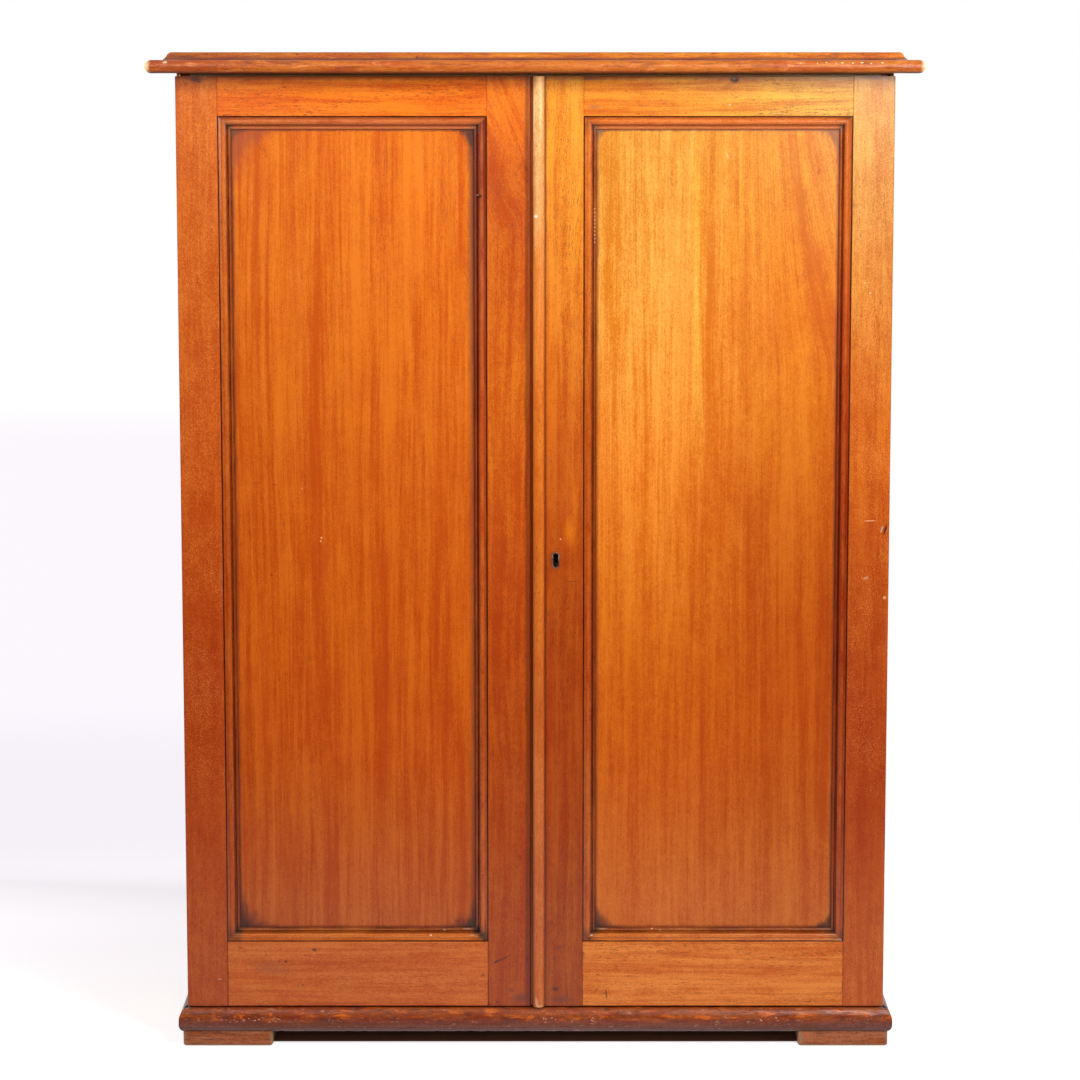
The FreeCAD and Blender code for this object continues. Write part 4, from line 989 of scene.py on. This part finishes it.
def foot_wood(name, seed):
    """Rough wood that was polished little, with its ends and lower edge worn grey."""
    g = material_graph(name)
    low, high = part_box(name)
    colour, height = wood(g, GRAIN_X, seed, (160, 84, 38), streak=2.0, mottle=2.2, pore=0.9)
    streaks = grained(g, GRAIN_X, 0.0032, 0.022, seed + 8, 4.0, 0.65)
    colour = g.mix(g.step(0.54, 0.66, streaks) * 0.65, colour, (78, 36, 24))
    colour = g.mix(g.step(0.44, 0.34, streaks) * 0.5, colour, (196, 98, 50))
    ends = g.low(abs(g.x - low[0]), abs(g.x - high[0]))
    grey = g.step(0.0075, 0.0010, ends + ragged_edge(g, seed, 0.010, 120.0))
    grey = g.high(grey, g.step(0.0042, 0.0012, g.z + ragged_edge(g, seed + 3, 0.005, 120.0)))
    colour = g.mix(grey * 0.6, colour, (160, 132, 100))
    colour = worn(g, colour, seed, 0.8, 0.8)
    return g.surface(colour, polish(g, GRAIN_X, seed, 0.38, 0.2), height + streaks * 1.5, FOOT_RELIEF)


def top_and_plinth():
    for node, section, proud, low, wear, seed, left, right, streak, slot in (
        ("top_board", nose_section(), TOP_PROUD, TOP_LOW + 0.00005, (2, 0.45, 1.6), 71, (172, 80, 8),
         (174, 84, 10), 2.2, "top_wood"),
        ("crown_board", crown_section(), CROWN_PROUD, TOP_HIGH, (5, 0.3, 0.9), 75, (160, 75, 6),
         (184, 96, 10), 1.8, "crown_wood"),
    ):
        moulded_board(node, section, proud, low, wear, board_wood(node, seed, left, right, streak))

    def shown(u, v):
        return u < PLINTH_LIP and v < PLINTH_WORN_HIGH

    half, front = HALF_WIDTH + PLINTH_PROUD, DOOR_FACE - PLINTH_PROUD
    deep = (CARCASS_FRONT - front) / MM
    proud = PLINTH_PROUD / MM
    up, back = Vector((0, 0, 1)), Vector((0, 1, 0))
    corner = Vector((-half, front, PLINTH_LOW))
    swept("plinth_front", plinth_section(deep), shown, corner, Vector((2 * half, 0, 0)), back, up, proud,
          PLINTH_WEAR, plinth_wood("plinth_front", GRAIN_X, 80))
    for word, side in (("left", -1), ("right", 1)):
        node = "plinth_" + word
        corner = Vector((side * half, front, PLINTH_LOW))
        along, across = back * (CARCASS_BACK - front), Vector((-side, 0, 0))
        swept(node, plinth_section(proud), shown, corner, along, across, up, proud, PLINTH_WEAR,
              plinth_wood(node, GRAIN_Y, 84 + side), PLINTH_SIDE_STEP, ends=1)


def paint(name, material):
    node = nodes[name]
    node.data.materials.clear()
    node.data.materials.append(material)
    for face in node.data.polygons:
        face.material_index = 0


def meeting_shade(g, colour):
    """A darker band along the left door's meeting edge beside the bead, and painted light on the door's edge
    inside the gap.
    """
    band = g.step(LEFT_EDGE - 0.0105, LEFT_EDGE - 0.0050, g.x + ragged_edge(g, 2.0, 0.005, 40.0))
    colour = g.mix(band * 0.62, colour, (84, 26, 3))
    # Painted light on the door's edge inside the gap, which keeps the gap from going dark
    inside = g.step(LEFT_EDGE - 0.0015, LEFT_EDGE - 0.0004, g.x)
    inside = inside * g.step(DOOR_FACE + 0.001, DOOR_FACE + 0.003, g.y)
    return g.mix(inside * 0.85, colour, (232, 140, 70))


def keyhole_shade(g, colour):
    """Painted contact shade and grime beside the bead, dark rubbed polish round the keyhole, and painted
    light on the door's edge inside the gap.
    """
    band = g.step(BEAD_RIGHT + 0.005, BEAD_RIGHT + 0.0005, g.x + ragged_edge(g, 6.0, 0.003, 60.0))
    colour = g.mix(band * 0.65, colour, (100, 34, 8))
    away = g.away(g.x - KEYHOLE_X, (g.z - KEYHOLE_Z) * 0.55) + ragged_edge(g, 5.0, 0.006, 110.0)
    colour = g.mix(g.step(0.013, 0.005, away) * 0.5, colour, (140, 52, 18))
    # Painted light on the door's edge inside the gap, which keeps the gap from going dark
    return g.mix(g.step(-0.0015, -0.0030, g.x) * 0.85, colour, (232, 140, 70))


def under_board(g, colour):
    """Painted shade under the top board, at the head of the doors."""
    painted_shade = g.step(DOOR_HIGH - 0.0085, DOOR_HIGH - 0.002, g.z + ragged_edge(g, 8.0, 0.009, 45.0))
    return g.mix(painted_shade * 0.55, colour, (78, 26, 8))


def rail_ends(strength):
    """The joints at both ends of a rail, opened a little and dark in places."""

    def extra(g, colour):
        away = g.low(abs(abs(g.x) - OPENING_NEAR), abs(abs(g.x) - OPENING_FAR))
        patch = g.noise(g.point(g.x * 20, 3.0, g.z * 60), 3.0)
        line = g.step(0.0022, 0.0006, away) * g.clamp(patch * 2.0 - 0.35)
        return g.mix(line * strength, colour, (66, 22, 8))

    return extra


def golden_specks(seed):
    """Fine pale speckles in clouds, where the polish has lifted."""

    def extra(g, colour):
        cloud = g.cloud(22, 22, 16, seed, 3.0, 0.6)
        speck = g.cloud(620, 620, 520, 0.0, 1.0)
        share = g.step(0.57, 0.68, speck + (cloud - 0.5) * 0.45) * g.step(0.22, 0.50, g.z)
        return g.mix(share * 0.38, colour, (240, 146, 70))

    return extra


def stile_extra(*steps):
    def extra(g, colour):
        for step in (*steps, under_board):
            colour = step(g, colour)
        return colour

    return extra


def left_curl(g):
    """The grain leans over near the head of the left meeting stile and turns round a knot."""
    away = g.away((g.x + 0.052) * 1.4, g.z - 1.278)
    return g.high(g.z - 1.26, 0.0) * 0.4 + g.step(0.070, 0.010, away) * 0.022


def right_top_rail_mean(g):
    """The colour changes from the meeting side to the hinge side."""
    return g.mix(g.step(OPENING_NEAR, OPENING_FAR, g.x), (207, 112, 12), (204, 138, 26))


def doors():
    panels = {"left": (LEFT_PANEL,), "right": (RIGHT_PANEL_NEAR, RIGHT_PANEL_FAR)}
    # Name, grain, seed, mean colour, what is added over it, then how the grain looks
    boards = (
        ("left_door_hinge_stile", GRAIN_Z, 11, LEFT_STILE, stile_extra(golden_specks(10)),
         dict(streak=0.8, mottle=1.5, long=1.5)),
        ("left_door_meeting_stile", GRAIN_Z, 12, LEFT_MEETING, stile_extra(meeting_shade),
         dict(streak=1.2, mottle=1.5, long=2.0, wave=0.03, bend=left_curl)),
        ("right_door_hinge_stile", GRAIN_Z, 31, RIGHT_STILE, stile_extra(golden_specks(30)),
         dict(streak=0.8, mottle=1.5, long=1.5)),
        ("right_door_meeting_stile", GRAIN_Z, 32, RIGHT_MEETING, stile_extra(keyhole_shade),
         dict(streak=1.2, mottle=1.5, long=2.0, wave=0.03)),
        ("left_door_top_rail", GRAIN_X, 15, (212, 99, 10), stile_extra(rail_ends(0.35)),
         dict(streak=1.5, mottle=1.2, long=1.6, pore=0.8)),
        ("left_door_bottom_rail", GRAIN_X, 16, (196, 93, 24), rail_ends(0.95),
         dict(streak=1.2, mottle=1.2, long=2.0, pore=0.6, fleck=0.7)),
        ("right_door_top_rail", GRAIN_X, 37, right_top_rail_mean, stile_extra(rail_ends(0.3)),
         dict(streak=1.4, mottle=1.1, long=1.6, pore=0.75)),
        ("right_door_bottom_rail", GRAIN_X, 38, (213, 112, 30), rail_ends(0.8),
         dict(streak=1.3, mottle=1.3, long=1.8, pore=0.6, fleck=0.8)),
    )
    for word, side, seed in (("left", -1, 10), ("right", 1, 30)):
        name = word + "_door_panel"
        paint(name, panel_wood(name, side, seed, panels[word]))
    for name, grain, seed, mean, extra, looks in boards:
        paint(name, plain_wood(name, grain, seed, mean, MARKS.get(name, ()), extra, **looks))


def carcass():
    for k, name in enumerate(("foot_front_left", "foot_front_right", "foot_back_left", "foot_back_right")):
        paint(name, foot_wood(name, 90 + 2 * k))
    for name, seed in (("side_left", 98), ("side_right", 102)):
        paint(name, plain_wood(name, GRAIN_Z, seed, (176, 78, 12), streak=1.1))
    boards = ["bottom_board", "top_rail_front", "top_rail_back", "base_rail_front", "base_rail_back",
              "shelf_1", "shelf_2", "shelf_3", "shelf_bearers"]
    pine = [(name, GRAIN_X, 100 + len(name)) for name in boards]
    pine += [("back_board_" + str(k), GRAIN_Z, 120 + k) for k in range(1, 5)]
    for name, grain, seed in pine:
        paint(name, plain_wood(name, grain, seed, (196, 146, 92), streak=0.7, mottle=0.6, long=2.0, pore=0.2))


def metals():
    brass = ("carcass_hinge_leaves_left", "carcass_hinge_leaves_right", "left_door_hinge_leaves",
             "right_door_hinge_leaves", "hinge_pins", "bolt_keepers", "strike_plate",
             "slide_bolt_plate_top", "slide_bolt_plate_bottom", "slide_bolt_rod_top",
             "slide_bolt_rod_bottom")
    iron = ("lock_case", "lock_bolt", "carcass_screws", "left_door_screws", "right_door_screws")
    for name, low, high, names in (
        ("aged_brass", (96, 66, 28), (176, 132, 62), brass),
        ("lining_brass", (150, 110, 96), (236, 208, 190), ("keyhole_lining",)),
        ("old_iron", (52, 47, 44), (104, 98, 92), iron),
    ):
        g = material_graph(name)
        patch = g.cloud(160, 160, 160, 0.0, 4.0, 0.6)
        colour = g.mix(g.step(0.35, 0.65, patch), low, high)
        material = g.surface(colour, patch * 0.3 + 0.25, patch, METAL_RELIEF, metal=1.0)
        for node in names:
            paint(node, material)


# Studio, in metres from the middle of the object's foot
WHITE, PAPER, BLACK = (1.0, 1.0, 1.0, 1.0), (0.9, 0.9, 0.9, 1.0), (0.0, 0.0, 0.0, 1.0)
WORLD_STRENGTH = 0.203
# A faint lilac painted shadow of the object on the paper on the left: where each change starts and ends in y,
# and its colour
SHADOW_TINT = (
    (-0.1, 0.45, (0.90, 0.86, 0.905, 1.0)),
    (0.45, 0.9, (0.80, 0.765, 0.81, 1.0)),
    (0.85, 1.4, (0.92, 0.875, 0.935, 1.0)),
    (1.8, 2.7, (0.975, 0.93, 0.985, 1.0)),
    (8.0, 9.6, WHITE),
)
DRAPE_HALF, DRAPE_AWAY, DRAPE_HIGH = 14, 7, 12
GROUND_NEAR, GROUND_HIGH = 1.25, 0.002
LENS, PITCH = 116.83, 7.88
CAMERA_X, CAMERA_AWAY, CAMERA_HIGH = 0.0069, 5.10, 1.4695


def mesh_object(name, points, faces):
    mesh = bpy.data.meshes.new(name)
    mesh.from_pydata(points, [], faces)
    made = bpy.data.objects.new(name, mesh)
    bpy.context.scene.collection.objects.link(made)
    return made


def background_share(g):
    """1 for the rays that see the background as white."""
    path = g.node("LightPath")
    rays = ("Is Camera Ray", "Is Glossy Ray", "Is Transmission Ray")
    return g.high(*(g.out(path, ray) for ray in rays))


def world():
    made = bpy.data.worlds.new("studio")
    bpy.context.scene.world = made
    g = Graph(made)
    light = g.node("Background", {"Color": WHITE, "Strength": WORLD_STRENGTH})
    white = g.node("Background", {"Color": WHITE, "Strength": 1.0})
    g.end(g.node("MixShader", {0: background_share(g), 1: g.out(light), 2: g.out(white)}), "OutputWorld")


def floor():
    """White paper that keeps the object's shadow close by and is plain white further off, with a painted
    lilac shadow on the left and a painted darker floor under the object.
    """
    reach = 30.0
    points = [(-reach, -reach, 0), (reach, -reach, 0), (reach, reach, 0), (-reach, reach, 0)]
    made = mesh_object("floor", points, [(0, 1, 2, 3)])
    g = material_graph("floor")
    across = g.step(HALF_WIDTH + 0.004, HALF_WIDTH - 0.004, abs(g.x))
    from_front = g.step(DOOR_FACE + 0.016, DOOR_FACE + 0.020, g.y)
    under = across * from_front * g.step(CARCASS_BACK, CARCASS_BACK - 0.05, g.y)
    paper = g.mix(g.step(0.5, 1.4, g.y), PAPER, BLACK)
    # Under the object the paper is painted darker: painted shadow
    diffuse = g.node("BsdfDiffuse", {"Color": g.mix(under, paper, (184, 144, 126))})
    far = g.high(g.step(0.5, 1.8, g.away(g.x, g.y)) * 0.36 + 0.64, g.step(0.3, 1.0, g.y))
    # A faint lilac on the left: painted shadow of the object
    shadow_tint = WHITE
    for near, end, tone in SHADOW_TINT:
        shadow_tint = g.mix(g.step(near, end, g.y), shadow_tint, tone)
    colour = g.mix(g.step(-0.35, -0.62, g.x), WHITE, shadow_tint)
    glow = g.node("Emission", {"Color": colour, "Strength": background_share(g) * far * (1 - under)})
    made.data.materials.append(g.end(g.node("AddShader", {0: g.out(diffuse), 1: g.out(glow)})))


def dark_card(name, first, last):
    """A dark drape of the studio that only gloss sees, between two places in y and z."""
    points = [(-DRAPE_HALF, *first), (DRAPE_HALF, *first), (DRAPE_HALF, *last), (-DRAPE_HALF, *last)]
    made = mesh_object(name, points, [(0, 1, 2, 3)])
    g = material_graph(name)
    made.data.materials.append(g.end(g.node("Emission", {"Color": (0.01, 0.01, 0.01, 1.0)})))
    made.visible_camera = False
    made.visible_diffuse = False
    made.visible_transmission = False
    made.visible_shadow = False


def lamp(name, place, target, width, height, power, spread=180.0):
    data = bpy.data.lights.new(name, "AREA")
    data.shape = "RECTANGLE"
    data.size = width
    data.size_y = height
    data.energy = power
    data.spread = math.radians(spread)
    made = bpy.data.objects.new(name, data)
    bpy.context.scene.collection.objects.link(made)
    made.location = place
    made.rotation_mode = "QUATERNION"
    made.rotation_quaternion = (Vector(target) - Vector(place)).to_track_quat("-Z", "Y")
    made.visible_camera = False
    return made


def lights():
    lamp("right_key", (1.15, -2.1, 2.75), (0.1, -0.2, 1.45), 0.9, 0.9, 5.95, 75)
    lamp("left_key", (-1.25, -2.1, 2.7), (-0.1, -0.2, 1.45), 0.9, 0.9, 6.9, 75)
    lamp("right_sheen", (0.86, -1.8, 1.66), (0.4, -0.2, 1.3), 0.35, 0.4, 21, 180)
    lamp("left_sheen", (-0.95, -1.8, 1.68), (-0.4, -0.2, 1.3), 0.35, 0.4, 4.3, 180)
    lamp("right_strip", (2.2, -0.75, 1.7), (0.0, -0.2, 1.2), 0.5, 1.2, 3.15)
    lamp("left_strip", (-2.2, -0.55, 1.7), (0.0, -0.2, 1.2), 0.5, 1.2, 3.15)


def camera():
    data = bpy.data.cameras.new("camera")
    data.sensor_width = 36.0
    data.lens = LENS
    data.clip_end = 100.0
    made = bpy.data.objects.new("camera", data)
    bpy.context.scene.collection.objects.link(made)
    made.location = (CAMERA_X, DOOR_FACE - CAMERA_AWAY, CAMERA_HIGH)
    made.rotation_euler = (math.radians(90 - PITCH), 0.0, 0.0)
    bpy.context.scene.camera = made


doors()
panel_mouldings()
meeting_bead()
meeting_strip()
top_and_plinth()
carcass()
metals()
world()
floor()
dark_card("dark_drape", (-DRAPE_AWAY, 0), (-DRAPE_AWAY, DRAPE_HIGH))
dark_card("dark_ground", (-DRAPE_AWAY, GROUND_HIGH), (-GROUND_NEAR, GROUND_HIGH))
lights()
camera()
bpy.context.scene.view_settings.view_transform = "Standard"
